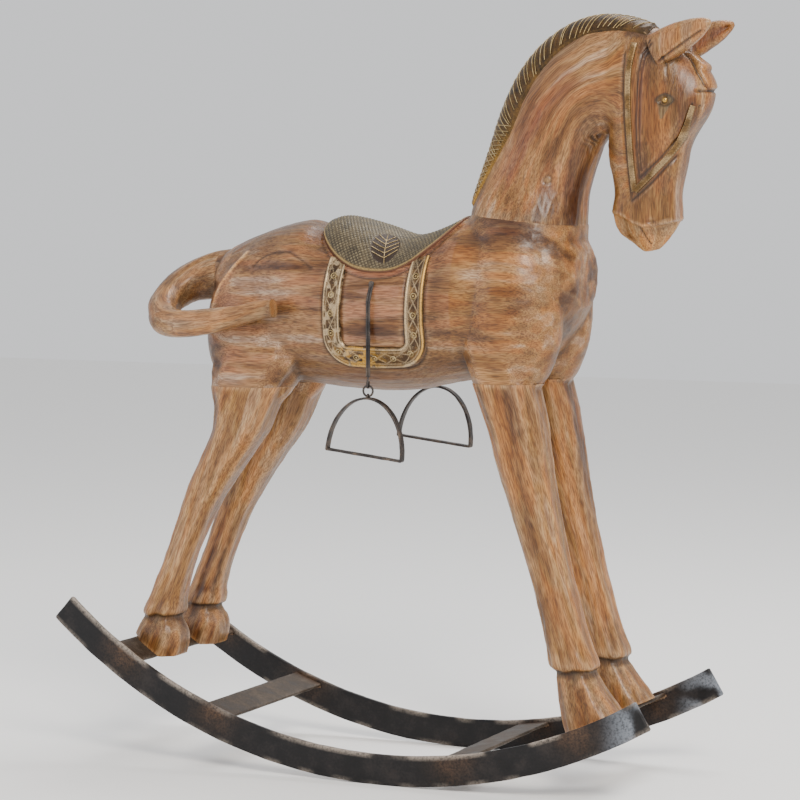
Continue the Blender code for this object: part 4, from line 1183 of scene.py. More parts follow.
def mane_line_paths(tree):
    """Return the engraved slanting lines: from the ridge down to the rolled edge, on both sides."""
    paths = []
    t = np.linspace(0.02, 0.995, 12)
    for index, side in itertools.product(range(int(MANE_LENGTH / MANE_LINE_STEP)), (-1, 1)):
        uneven, lean, reach = (LATTICE[index % LATTICE_CELLS, j, k] for j, k in ((3, 5), (9, 1), (6, 2)))
        start = (index + 0.9 + 0.5 * uneven) * MANE_LINE_STEP + MANE_SLANT
        s = (start - t * MANE_SLANT * (0.75 + 0.5 * lean)) / MANE_LENGTH
        if s.max() > 0.995 or s.min() < 0.005:
            continue
        keep = t < 0.965 + 0.04 * reach
        ways = [(s[keep], t[keep])]
        if s.max() < 0.36:
            ways.append(((start - MANE_SLANT + t * MANE_SLANT) / MANE_LENGTH, t))
        for share, turn in ways:
            skin, runs = mane_places(tree, share, turn * side)
            paths.append(skin + runs * MANE_PROUD)
    return paths


def seat_arc(x):
    """Return how far down the side the saddle reaches, in metres round the back."""
    return np.radians(column(SEAT_TABLE, x, 1)) * SEAT_ARC_RADIUS


def seat_places(tree, x, part):
    """Return skin places, runs and height of the saddle for a position and a turn across, -1 to 1."""
    reach = column(SEAT_TABLE, x, 1)
    ridge = column(SEAT_TABLE, x, 2)
    angle = np.radians(reach * part)
    runs = in_space(0.0, np.sin(angle), np.cos(angle))
    skin = skin_points(tree, in_space(x, 0.0, BACK_AXIS_Z), runs)
    return skin, runs, SEAT_RIM_PROUD + (ridge - SEAT_RIM_PROUD) * (1 - part ** 2)


SEAT_HATCH = 0.0038
SEAT_LET_IN = 0.003


def leaf_share(x, part):
    """Return where a spot of the seat lies in its leaf panel: 0 in the middle, 1 on its edge."""
    dx = x - LEAF_MIDDLE[0]
    da = np.abs(part) * seat_arc(x) - LEAF_MIDDLE[1]
    along = (dx * LEAF_RUN[0] + da * LEAF_RUN[1]) / LEAF_HALF[0]
    across = (dx * -LEAF_RUN[1] + da * LEAF_RUN[0]) / LEAF_HALF[1]
    return np.sqrt(along ** 2 + across ** 2)


def seat_piece(tree):
    """Return the saddle seat: hatched sheet, rolled gold rim, and a leaf panel on each side."""
    first = SEAT_ROWS[0][0]
    last = SEAT_ROWS[-1][0]
    x = np.linspace(first, last, 250)
    gx, gp = grid_of(x, np.linspace(-1, 1, 201))
    skin, runs, proud = seat_places(tree, gx, gp)
    across = gp * seat_arc(gx)
    edge = (1 - np.abs(gp)) * seat_arc(gx)
    edge = np.minimum(edge, np.minimum(gx - first, last - gx) + 0.0004)
    hatch_a = np.abs(np.sin(np.pi * (gx * 0.86 + across * 0.5) / SEAT_HATCH))
    hatch_b = np.abs(np.sin(np.pi * (gx * 0.5 - across * 0.86) / SEAT_HATCH))
    leaf = 1 - step_up(leaf_share(gx, gp), 0.92, 1.02)
    hatch = np.minimum(hatch_a, hatch_b) ** 1.4 * (0.55 + 0.9 * mottle(skin, 0.005, 24))
    hatch *= (1 - leaf) * step_up(edge, 0.005, 0.0065)
    roll = bell(edge - 0.0042, 0.0014)
    height = proud * (0.25 + 0.75 * step_up(edge, 0.0, 0.0022))
    height += 0.0007 * hatch + 0.0011 * roll - 0.0004 * leaf
    under, under_runs, _ = seat_places(tree, *grid_of(x, np.linspace(-1, 1, 9)))
    return clad(
        "saddle_seat_sheet", len(x), skin + runs * height[:, None], under - under_runs * SEAT_LET_IN,
        high=hatch, roll=roll, leaf=leaf, red=1 - step_up(edge, 0.002, 0.0032),
    )


def leaf_paths(tree):
    """Return the leaf's midrib and veins on both sides of the saddle."""
    lines = [(np.linspace(-1.05, 0.92, 14), np.zeros(14))]
    for start in (-0.7, -0.42, -0.14, 0.14, 0.4):
        t = np.linspace(0, 1, 7)
        end = start + 0.42
        half = 0.9 * math.sqrt(max(0.05, 1 - end ** 2))
        for way in (-1, 1):
            lines.append((start + 0.42 * t, way * half * t ** 0.9))
    paths = []
    for side in (-1, 1):
        for u, v in lines:
            u = u * LEAF_HALF[0]
            v = v * LEAF_HALF[1]
            gx = LEAF_MIDDLE[0] + LEAF_RUN[0] * u - LEAF_RUN[1] * v
            arc = LEAF_MIDDLE[1] + LEAF_RUN[1] * u + LEAF_RUN[0] * v
            skin, runs, proud = seat_places(tree, gx, side * arc / seat_arc(gx))
            paths.append(skin + runs * (proud - 0.0001)[:, None])
    return paths


def flank_runs(x, z, side):
    """Return origins and directions of the lines that meet the flank about height z."""
    rise = np.clip((z - BACK_AXIS_Z) / FLANK_RADIUS, -0.98, 0.98)
    return in_space(x, 0.0, BACK_AXIS_Z), in_space(0.0, side * np.sqrt(1 - rise ** 2), rise)


def along_path(path, count):
    """Return evenly spaced places, directions and distances along a path in a plane."""
    path = np.asarray(path, float)
    steps = np.linalg.norm(np.diff(path, axis=0), axis=1)
    run = np.concatenate([[0], np.cumsum(steps)])
    s = np.linspace(0, run[-1], count)
    places = np.stack([np.interp(s, run, path[:, k]) for k in (0, 1)], axis=1)
    heads = np.gradient(places, axis=0)
    for _ in range(4):
        heads[1:-1] = (heads[:-2] + heads[1:-1] * 2 + heads[2:]) / 4
    heads /= np.linalg.norm(heads, axis=1)[:, None]
    return places, heads, s


def cheek_runs(x, z, side):
    """Return origins and directions of the lines straight out to one cheek."""
    return in_space(x, 0.0, z), np.tile((0.0, float(side), 0.0), (len(x), 1))


def strip_places(path, count, across, lines_out, side, tree, narrow_to=1.0):
    """Return skin places, runs and distances of a grid laid along a path, at offsets across in metres."""
    places, heads, s = along_path(path, count)
    sideways = np.stack([-heads[:, 1], heads[:, 0]], axis=1)
    offsets = np.interp(s, [0, s[-1]], [1.0, narrow_to])[:, None] * across
    flat = (places[:, None, :] + sideways[:, None, :] * offsets[:, :, None]).reshape(-1, 2)
    origins, runs = lines_out(flat[:, 0], flat[:, 1], side)
    return skin_points(tree, origins, runs), runs, s


BORDER_MOTIF = 0.0215
BORDER_LINE = border_path()


def border_piece(tree, side, word):
    """Return one flank's U of embossed brass: ridged edges and a diamond band between them."""
    rows = 620
    half = BORDER_WIDTH / 2
    across = np.linspace(-half, half, 37)
    skin, runs, s = strip_places(BORDER_LINE, rows, across, flank_runs, side, tree)
    along, a = grid_of(s, across)
    out = np.abs(a)
    ridge = bell(out - half + 0.0022, 0.001)
    inner_ridge = 0.6 * bell(out - half + 0.0055, 0.0006)
    phase = (along / BORDER_MOTIF) % 1.0
    diamond = np.abs(np.abs(phase - 0.5) * 2 * 0.0055 - (0.0055 - out))
    lines = 0.7 * bell(diamond, 0.0006) * (out < 0.0058)
    hatch = 0.35 * (np.sin(2 * np.pi * (along + a) / 0.0024) > 0.2) * (out < 0.006) * (phase < 0.5) * (a > 0)
    relief = np.maximum(np.maximum(ridge, inner_ridge), np.maximum(lines, hatch))
    fall = np.sqrt(np.clip(1 - (out / half) ** 14, 0, 1))
    height = (BORDER_PROUD - 0.0008 + 0.001 * relief) * (0.15 + 0.85 * fall)
    height += 0.0005 * (mottle(skin, 0.007, 31) - 0.5)
    across = np.linspace(-half, half, 5)
    under, under_runs, _ = strip_places(BORDER_LINE, rows, across, flank_runs, side, tree)
    x, _, z = skin.T
    # Painted highlight: bright gold along the outer ridge of the front edge
    front_edge_highlight = ridge * step_up(x, 0.02, 0.028)
    bottom = bell(x + 0.045, 0.025) * (z < 0.512) * step_up(mottle(skin, 0.004, 34), 0.36, 0.56)
    spots = step_up(mottle(skin, 0.0045, 32), 0.42, 0.62) * step_up(-0.045 - x, 0.0, 0.02)
    grey = 0.9 * bell(out - half + 0.0026, 0.002) * (x > 0.008) * (x < 0.022)
    shown = np.maximum(relief * (0.5 + 0.8 * mottle(skin, 0.006, 33)), 0.75 * spots)
    outer = skin + runs * height[:, None]
    return clad(
        "blanket_border_%s_brass" % word, rows, outer, under - under_runs * SHEET_LET_IN,
        high=np.maximum(shown, grey), gold=np.clip(front_edge_highlight * 1.4 + 0.8 * bottom, 0, 1),
    )


def border_spots(tree, side):
    """Return places and outward runs of the punched rings along the border."""
    skin, runs, _ = strip_places(BORDER_LINE, 15, np.zeros(1), flank_runs, side, tree)
    return (skin + runs * (BORDER_PROUD - 0.0002))[1:-1], runs[1:-1]


def band_piece(name, tree, side, path, narrow_to):
    """Return one strap of brass, domed with beaded edges."""
    rows = 220
    line = smooth_rows(path, 8)
    across = np.linspace(-0.5, 0.5, 15)
    skin, runs, s = strip_places(line, rows, BAND_WIDTH * across, cheek_runs, side, tree, narrow_to)
    along, u = grid_of(s, across * 2)
    dome = np.sqrt(np.clip(1 - np.abs(u) ** 3, 0, 1))
    beaded = bell(np.abs(u) - 0.74, 0.13) * (0.5 + 0.5 * np.sin(2 * np.pi * along / 0.003))
    height = -0.0004 + 0.0021 * dome + 0.0003 * beaded + 0.0004 * (mottle(skin, 0.006, 41) - 0.5)
    edges = BAND_WIDTH * np.linspace(-0.5, 0.5, 3)
    under, under_runs, _ = strip_places(line, rows, edges, cheek_runs, side, tree, narrow_to)
    item = clad(
        name, rows, skin + runs * height[:, None], under - under_runs * SHEET_LET_IN,
        high=0.35 * step_up(mottle(skin, 0.014, 42), 0.35, 0.7) * dome + 0.35 * beaded,
    )
    note(item, "gold", np.full(len(item.data.vertices), 0.1))
    return item


# Geometry Nodes: lines laid on a surface, and small stamped shapes set along it

def add_node(tree, kind, values=None, links=None, **settings):
    """Add a node with its settings, input values and incoming links."""
    made = tree.nodes.new(kind)
    for key, value in settings.items():
        setattr(made, key, value)
    for key, value in (values or {}).items():
        made.inputs[key].default_value = value
    for key, source in (links or {}).items():
        tree.links.new(source, made.inputs[key])
    return made


def start_tree(name, sizes):
    """Return a new tree with its named inputs, and their outlets inside it."""
    tree = bpy.data.node_groups.new(name, "GeometryNodeTree")
    for word, kind in (("Geometry", "Geometry"), *sizes, ("Finish", "Material")):
        tree.interface.new_socket(word, in_out="INPUT", socket_type="NodeSocket" + kind)
    tree.interface.new_socket("Geometry", in_out="OUTPUT", socket_type="NodeSocketGeometry")
    return tree, add_node(tree, "NodeGroupInput").outputs


def end_tree(tree, geometry, finish):
    """End a tree with real copies in their finish."""
    whole = add_node(tree, "GeometryNodeRealizeInstances", links={"Geometry": geometry})
    painted = add_node(
        tree, "GeometryNodeSetMaterial", links={"Geometry": whole.outputs["Geometry"], "Material": finish},
    )
    add_node(tree, "NodeGroupOutput", links={0: painted.outputs["Geometry"]})
    return tree


def line_tree():
    """Make the tree that turns rows of points into fine raised lines."""
    tree, given = start_tree("raised_lines", (("Line Thickness", "Float"), ("Sides", "Int")))
    radius = add_node(
        tree, "ShaderNodeMath", operation="MULTIPLY", values={1: 0.5}, links={0: given["Line Thickness"]},
    )
    curve = add_node(tree, "GeometryNodeMeshToCurve", links={"Mesh": given["Geometry"]})
    profile = add_node(
        tree, "GeometryNodeCurvePrimitiveCircle",
        links={"Resolution": given["Sides"], "Radius": radius.outputs[0]},
    )
    wire = add_node(
        tree, "GeometryNodeCurveToMesh", values={"Fill Caps": True},
        links={"Curve": curve.outputs["Curve"], "Profile Curve": profile.outputs["Curve"]},
    )
    return end_tree(tree, wire.outputs["Mesh"], given["Finish"])


def stamp_tree():
    """Make the tree that sets a ring, and a small domed head in it, on each point, facing outwards."""
    tree, given = start_tree(
        "punched_rings", (("Ring Radius", "Float"), ("Ring Wire", "Float"), ("Head Radius", "Float")),
    )
    circle, profile = (
        add_node(
            tree, "GeometryNodeCurvePrimitiveCircle",
            values={"Resolution": count}, links={"Radius": given[word]},
        )
        for count, word in ((12, "Ring Radius"), (5, "Ring Wire"))
    )
    wire = add_node(
        tree, "GeometryNodeCurveToMesh",
        links={"Curve": circle.outputs["Curve"], "Profile Curve": profile.outputs["Curve"]},
    )
    head = add_node(
        tree, "GeometryNodeMeshUVSphere", values={"Segments": 8, "Rings": 5},
        links={"Radius": given["Head Radius"]},
    )
    stamp = add_node(tree, "GeometryNodeJoinGeometry")
    tree.links.new(wire.outputs["Mesh"], stamp.inputs[0])
    tree.links.new(head.outputs["Mesh"], stamp.inputs[0])
    facing = add_node(
        tree, "GeometryNodeInputNamedAttribute", data_type="FLOAT_VECTOR", values={"Name": "facing"},
    )
    turn = add_node(
        tree, "FunctionNodeAlignRotationToVector", axis="Z", links={"Vector": facing.outputs["Attribute"]},
    )
    points = add_node(tree, "GeometryNodeMeshToPoints", links={"Mesh": given["Geometry"]})
    set_out = add_node(
        tree, "GeometryNodeInstanceOnPoints",
        links={"Points": points.outputs["Points"], "Instance": stamp.outputs[0], "Rotation": turn.outputs[0]},
    )
    return end_tree(tree, set_out.outputs["Instances"], given["Finish"])


def grow(name, mesh, tree, settings):
    """Run a node tree on a mesh and return its result as a plain mesh."""
    seed = linked(name, mesh)
    step = seed.modifiers.new("grow", "NODES")
    step.node_group = tree
    names = {item.name: item.identifier for item in tree.interface.items_tree if item.in_out == "INPUT"}
    for key, value in settings.items():
        step[names[key]] = value
    return settled(seed)


def lines_piece(name, paths, tree, thickness, finish, sides=5):
    """Lay raised lines along paths in space."""
    verts = []
    edges = []
    for path in paths:
        first = len(verts)
        verts += [tuple(p) for p in path]
        edges += [(first + i, first + i + 1) for i in range(len(path) - 1)]
    mesh = bpy.data.meshes.new(name)
    mesh.from_pydata(verts, edges, [])
    return grow(name, mesh, tree, {"Line Thickness": thickness, "Sides": sides, "Finish": finish})


def stamps_piece(name, places, runs, tree, sizes, finish):
    """Set rings and heads on places, facing along runs."""
    mesh = bpy.data.meshes.new(name)
    mesh.from_pydata([tuple(p) for p in places], [], [])
    layer = mesh.attributes.new("facing", "FLOAT_VECTOR", "POINT")
    layer.data.foreach_set("vector", np.asarray(runs, float).ravel())
    return grow(name, mesh, tree, {**sizes, "Finish": finish})


# Iron: painted runners and bars, and the dark straps, hooks, rings and stirrups

def bar_section(centre, side, up, half_side, half_up, corner, steps=4):
    """Return a rectangular section with rounded corners: side and up are unit directions."""
    points = []
    for index, (a, b) in enumerate(((1, 1), (-1, 1), (-1, -1), (1, -1))):
        for turn in np.linspace(index * np.pi / 2, (index + 1) * np.pi / 2, steps):
            across = a * (half_side - corner) + corner * np.cos(turn)
            high = b * (half_up - corner) + corner * np.sin(turn)
            points.append(np.asarray(centre) + np.asarray(side) * across + np.asarray(up) * high)
    return np.array(points)


def filled_section(section, most):
    """Divide a section's long sides, so that no step is longer than most."""
    out = []
    for low, high in zip(section, np.roll(section, -1, axis=0)):
        steps = max(1, int(np.ceil(np.linalg.norm(high - low) / most)))
        out += [low + (high - low) * k / steps for k in range(steps)]
    return np.array(out)


def hammer(item, depth, size, seed):
    """Dent a forged piece lightly."""
    points = points_of(item)
    lift = depth * (mottle(points, size, seed) - 0.5)
    lift += 0.4 * depth * (mottle(points, size / 3, seed + 1) - 0.5)
    move_points(item, points + normals_of(item) * lift[:, None])
    return item


END_ROUNDING = 0.0008
WELD_GAP = 0.0003
BAR_REACH = RUNNER_MIDDLE_Y - RUNNER_THICKNESS / 2


def runner_piece(word, side):
    """Return one runner of flat bar standing on edge, with worn edges and cut ends."""
    y = side * RUNNER_MIDDLE_Y
    flat = math.degrees(math.asin(REST_FLAT / 2 / RUNNER_RADIUS))
    angles = np.concatenate([
        np.linspace(-RUNNER_REAR_DEG, -flat, 250), np.linspace(-flat, flat, 22)[1:-1],
        np.linspace(flat, RUNNER_FRONT_DEG, 170),
    ])
    end = END_ROUNDING / RUNNER_RADIUS * 180 / math.pi
    sections = []
    for angle in angles:
        x, z = on_runner(angle, RUNNER_RADIUS - RUNNER_HEIGHT / 2)
        near = min(angle + RUNNER_REAR_DEG, RUNNER_FRONT_DEG - angle) / end
        shrink = END_ROUNDING * (1 - min(1, max(0.0, near)))
        half_side = RUNNER_THICKNESS / 2 - shrink
        half_up = RUNNER_HEIGHT / 2 - shrink
        section = bar_section((x, y, z), (0, 1, 0), slope(angle)[1], half_side, half_up, 0.0011)
        sections.append(filled_section(section, 0.005))
    item = hammer(tube("runner_%s_iron" % word, sections), 0.0007, 0.022, 51)
    points = points_of(item)
    points[:, 2] = np.maximum(points[:, 2], 0)
    move_points(item, points)
    edge = np.hypot(points[:, 0], points[:, 2] - RUNNER_CENTRE_Z) - RUNNER_INNER_RADIUS
    worn = bell(edge, 0.0022) * step_up(mottle(points, 0.03, 52), 0.3, 0.62)
    worn += 0.55 * bell(edge - RUNNER_HEIGHT, 0.0022) * step_up(mottle(points, 0.022, 53), 0.42, 0.7)
    rust = np.zeros(len(points))
    for name in BAR_ANGLES_DEG:
        away = np.linalg.norm(points[:, [0, 2]] - bar_seat(name), axis=1)
        rust += bell(away, 0.024) * (0.35 + mottle(points, 0.008, 54))
    near_end = step_up(points[:, 0], 0.27, 0.315) * step_up(mottle(points, 0.018, 55), 0.3, 0.55)
    for mark, values in (("worn", worn), ("rust", rust * 0.8), ("rubbed", near_end)):
        note(item, mark, np.clip(values, 0, 1))
    return item


def crossbar_piece(name):
    """Return one flat crossbar under the feet, with its worn upper face."""
    reach = BAR_REACH - WELD_GAP
    run, up = slope(BAR_ANGLES_DEG[name])
    x, z = bar_seat(name, 0.0, -WELD_GAP - BAR_THICKNESS / 2)
    sections = []
    for y in np.linspace(-reach, reach, 110):
        section = bar_section((x, y, z), run, up, BAR_WIDTH / 2, BAR_THICKNESS / 2, 0.0012)
        sections.append(filled_section(section, 0.004))
    item = hammer(tube(name + "_iron", sections), 0.0006, 0.018, 61)
    points = points_of(item)
    edge = bell(np.abs((points - (x, 0, z)) @ run) - BAR_WIDTH / 2, 0.0024)
    near = bell(reach - np.abs(points[:, 1]), 0.01)
    note(item, "worn", np.clip(0.75 * edge * step_up(mottle(points, 0.02, 62), 0.3, 0.6) + 0.25, 0, 1))
    note(item, "rust", np.clip(near * (0.5 + mottle(points, 0.007, 63)) + 0.2, 0, 1))
    return item


def weld_piece(name, word, side):
    """Return the lumpy bead where a crossbar meets a runner, along the bar's two faces."""
    run, up = slope(BAR_ANGLES_DEG[name])
    x, z = bar_seat(name, 0.0, -WELD_GAP - BAR_THICKNESS)
    middle = np.array((x, side * (BAR_REACH - 0.0012), z))
    sections = []
    for t in np.linspace(-1, 1, 70):
        taper = math.sqrt(max(0.0, 1 - abs(t) ** 8))
        lump = 1 + 0.22 * math.sin(t * 31 + len(name)) + 0.1 * math.sin(t * 57)
        radius = 0.0024 * lump * (0.25 + 0.75 * taper)
        centre = middle + run * (BAR_WIDTH / 2 + 0.0008) * t
        sections.append(rounded_section(centre, (0, radius, 0), up * radius, 2, 12))
    return hammer(tube("%s_weld_%s" % (name, word), sections), 0.0006, 0.004, 64)


def nearby_rows(path, closed=False, rounds=2):
    """Round the corners of a path by cutting them twice."""
    path = np.asarray(path, float)
    for _ in range(rounds):
        after = np.roll(path, -1, axis=0) if closed else path[1:]
        before = path if closed else path[:-1]
        cut = np.empty((len(before) * 2, path.shape[1]))
        cut[0::2] = before * 0.75 + after * 0.25
        cut[1::2] = before * 0.25 + after * 0.75
        path = cut if closed else np.vstack([path[:1], cut, path[-1:]])
    return path


def wire_piece(name, path, radius, sides=14, closed=False):
    """Return a round wire along a path, with domed ends where it is open."""
    path = np.asarray(path, float)
    runs = np.roll(path, -1, axis=0) - np.roll(path, 1, axis=0) if closed else np.gradient(path, axis=0)
    sections = []
    flat = np.array((1.0, 0, 0)) if np.ptp(path[:, 0]) < 1e-4 else np.array((0, 1.0, 0))
    for index, (spot, run) in enumerate(zip(path, runs)):
        run = run / np.linalg.norm(run)
        up = np.cross(run, flat)
        up /= np.linalg.norm(up)
        side = np.cross(up, run)
        size = radius
        if not closed and index in (0, len(path) - 1):
            size = radius * 0.6
        sections.append(rounded_section(spot, side * size, up * size, 2, sides))
    return tube(name, sections, closed)


def stirrup_piece(word, side):
    """Return the D of bent strip, with the eye on top that the ring runs through."""
    half = STIRRUP_WIDTH / 2 - STIRRUP_STRIP_THICKNESS / 2
    low = STIRRUP_STRIP_THICKNESS / 2
    rise = STIRRUP_HEIGHT - STIRRUP_STRIP_THICKNESS
    turn = np.linspace(0.03, math.pi - 0.03, 90)
    arch = np.stack([half * np.cos(turn), low + rise * np.sin(turn)], axis=1)
    base = np.stack([np.linspace(-half, half, 60), np.full(60, low)], axis=1)
    line = nearby_rows(np.vstack([arch, base]), True, 1)
    tilt = -math.radians(STIRRUP_TILT_DEG)
    turned = np.array(((math.cos(tilt), math.sin(tilt)), (-math.sin(tilt), math.cos(tilt))))
    top = np.array((0, STIRRUP_HEIGHT)) @ turned
    place = line @ turned - top + (STIRRUP_X + STIRRUP_SLIDE, STIRRUP_TOP_Z)
    runs = np.roll(place, -1, axis=0) - np.roll(place, 1, axis=0)
    y = side * STIRRUP_Y
    sections = []
    for (x, z), run in zip(place, runs / np.linalg.norm(runs, axis=1)[:, None]):
        section = bar_section(
            (x, y, z), (run[1], 0, -run[0]), (0, 1, 0),
            STIRRUP_STRIP_THICKNESS / 2, STIRRUP_STRIP_WIDTH / 2, 0.0009,
        )
        sections.append(filled_section(section, 0.0026))
    strip = hammer(tube("stirrup_%s_iron" % word, sections, True), 0.0005, 0.009, 71)
    feet = [
        (STIRRUP_X, y + 0.0034 * math.cos(a), STIRRUP_TOP_Z - 0.0012 + 0.0051 * math.sin(a))
        for a in np.linspace(0, math.pi, 15)
    ]
    return strip, wire_piece("stirrup_%s_eye" % word, feet, 0.0009, 12)


def ring_piece(word, side):
    """Return the round ring between hook and stirrup."""
    ring_z = STIRRUP_TOP_Z + 0.0003 + RING_RADIUS + RING_WIRE
    turn = np.linspace(0, 2 * math.pi, 60, endpoint=False)
    across, up = RING_RADIUS * np.cos(turn), RING_RADIUS * np.sin(turn)
    path = in_space(STIRRUP_X + across, side * STIRRUP_Y, ring_z + up)
    return hammer(wire_piece("stirrup_ring_%s_iron" % word, path, RING_WIRE, 14, True), 0.0003, 0.004, 72)


def hook_piece(word, side):
    """Return the bent wire hook that carries the ring."""
    ring_top = STIRRUP_TOP_Z + 0.0003 + 2 * RING_RADIUS + RING_WIRE
    y = side * STIRRUP_Y
    reach = RING_WIRE + HOOK_WIRE + 0.0003
    out_and_up = [(0, STRAP_BOTTOM_Z), (0.0002, STRAP_BOTTOM_Z - 0.0018), (reach, ring_top + 0.003)]
    out_and_up += [(reach * math.cos(a), ring_top - reach * math.sin(a)) for a in np.linspace(0, math.pi, 11)]
    out_and_up += [(-reach, ring_top + 0.002), (-0.0018, ring_top + 0.0052)]
    path = nearby_rows([(STIRRUP_X, y + side * out, z) for out, z in out_and_up])
    return hammer(wire_piece("stirrup_hook_%s_iron" % word, path, HOOK_WIRE, 12), 0.0003, 0.004, 73)


def strap_piece(word, side, tree):
    """Return the nailed strap with its raised edges, and the nail's domed head."""
    origins, runs = flank_runs(np.array([STIRRUP_X]), np.array([STRAP_TOP_Z]), side)
    nail = skin_points(tree, origins, runs)[0]
    spots = np.array((
        (abs(nail[1]) + STRAP_CLEARANCE - 0.0005, STRAP_TOP_Z + 0.0025),
        (abs(nail[1]) + STRAP_CLEARANCE, STRAP_TOP_Z),
        (STIRRUP_Y - STRAP_CLEARANCE / 4, STRAP_BEND_Z + STRAP_THICKNESS),
        (STIRRUP_Y, STRAP_BEND_Z - STRAP_THICKNESS),
        (STIRRUP_Y, (STRAP_BEND_Z + STRAP_BOTTOM_Z) / 2),
        (STIRRUP_Y, STRAP_BOTTOM_Z),
    ))
    line = nearby_rows(spots)
    places, heads, _ = along_path(line, 110)
    sections = []
    for (y, z), (dy, dz) in zip(places, heads):
        out = np.array((0, -dz * side, dy))
        section = bar_section(
            (STIRRUP_X, side * y, z), (1, 0, 0), out, STRAP_WIDTH / 2, STRAP_THICKNESS / 2, 0.0006,
        )
        sections.append(filled_section(section, 0.0007))
    strap = tube("stirrup_strap_%s_iron" % word, sections)
    points = points_of(strap)
    middle = bell(points[:, 0] - STIRRUP_X, 0.0007)
    normals = normals_of(strap)
    move_points(strap, points - normals * (0.0005 * middle * (np.abs(normals[:, 0]) < 0.5))[:, None])
    hammer(strap, 0.0004, 0.006, 74)
    note(strap, "slot", middle)
    spot = (STIRRUP_X, side * (abs(nail[1]) + STRAP_CLEARANCE + STRAP_THICKNESS / 2), STRAP_TOP_Z)
    head = ball("stirrup_strap_%s_nail" % word, spot, (1, 0.5, 1), 0.0036, 20, 12)
    return strap, hammer(head, 0.0004, 0.003, 75)


def eye_piece(word, side, tree):
    """Return the round brass tack head that is the eye."""
    spot = skin_points(tree, *cheek_runs(np.array([EYE_PLACE[0]]), np.array([EYE_PLACE[1]]), side))[0]
    centre = (spot[0], spot[1] - side * 0.0006, spot[2])
    return ball("eye_tack_%s_head" % word, centre, (1, 0.62, 1), EYE_TACK_RADIUS, 28, 16)


# Materials

def hex_colour(text):
    """Turn a hex sRGB colour into linear RGBA."""
    out = []
    for start in (1, 3, 5):
        value = int(text[start:start + 2], 16) / 255
        out.append(value / 12.92 if value <= 0.04045 else ((value + 0.055) / 1.055) ** 2.4)
    return (*out, 1.0)


def new_finish(name, **constants):
    """Return a new material's tree and its shader, with constant values set on it."""
    material = bpy.data.materials.new(name)
    material.use_nodes = True
    tree = material.node_tree
    tree.nodes.clear()
    shader = add_node(tree, "ShaderNodeBsdfPrincipled", values=constants)
    add_node(tree, "ShaderNodeOutputMaterial", links={"Surface": shader.outputs[0]})
    return material, tree, shader


def set_stops(node, stops):
    """Give a colour ramp its stops, as places and hex colours."""
    ramp = node.color_ramp
    while len(ramp.elements) < len(stops):
        ramp.elements.new(0.5)
    for element, (place, colour) in zip(ramp.elements, stops):
        element.position = place
        element.color = hex_colour(colour)
    return node


STAIN_STOPS = ((0.0, "#4e3018"), (0.28, "#6c4a29"), (0.52, "#8b6439"), (0.78, "#a07b52"), (1.0, "#b29a82"))


MARKS = ("grain", "dark", "wash", "pale", "ochre", "red", "pink", "shade_and_umber")


def tinted(tree, colour, noise, low, high, strength, mark, tint):
    """Lay a tint over a colour where a mark is noted, broken up by a noise."""
    patch = add_node(
        tree, "ShaderNodeMapRange", values={"From Min": low, "From Max": high, "To Max": strength},
        links={"Value": noise},
    )
    amount = add_node(
        tree, "ShaderNodeMath", operation="MULTIPLY", use_clamp=True, links={0: patch.outputs[0], 1: mark},
    )
    return add_node(
        tree, "ShaderNodeMix", data_type="RGBA", values={7: hex_colour(tint)},
        links={0: amount.outputs[0], 6: colour},
    ).outputs[2]


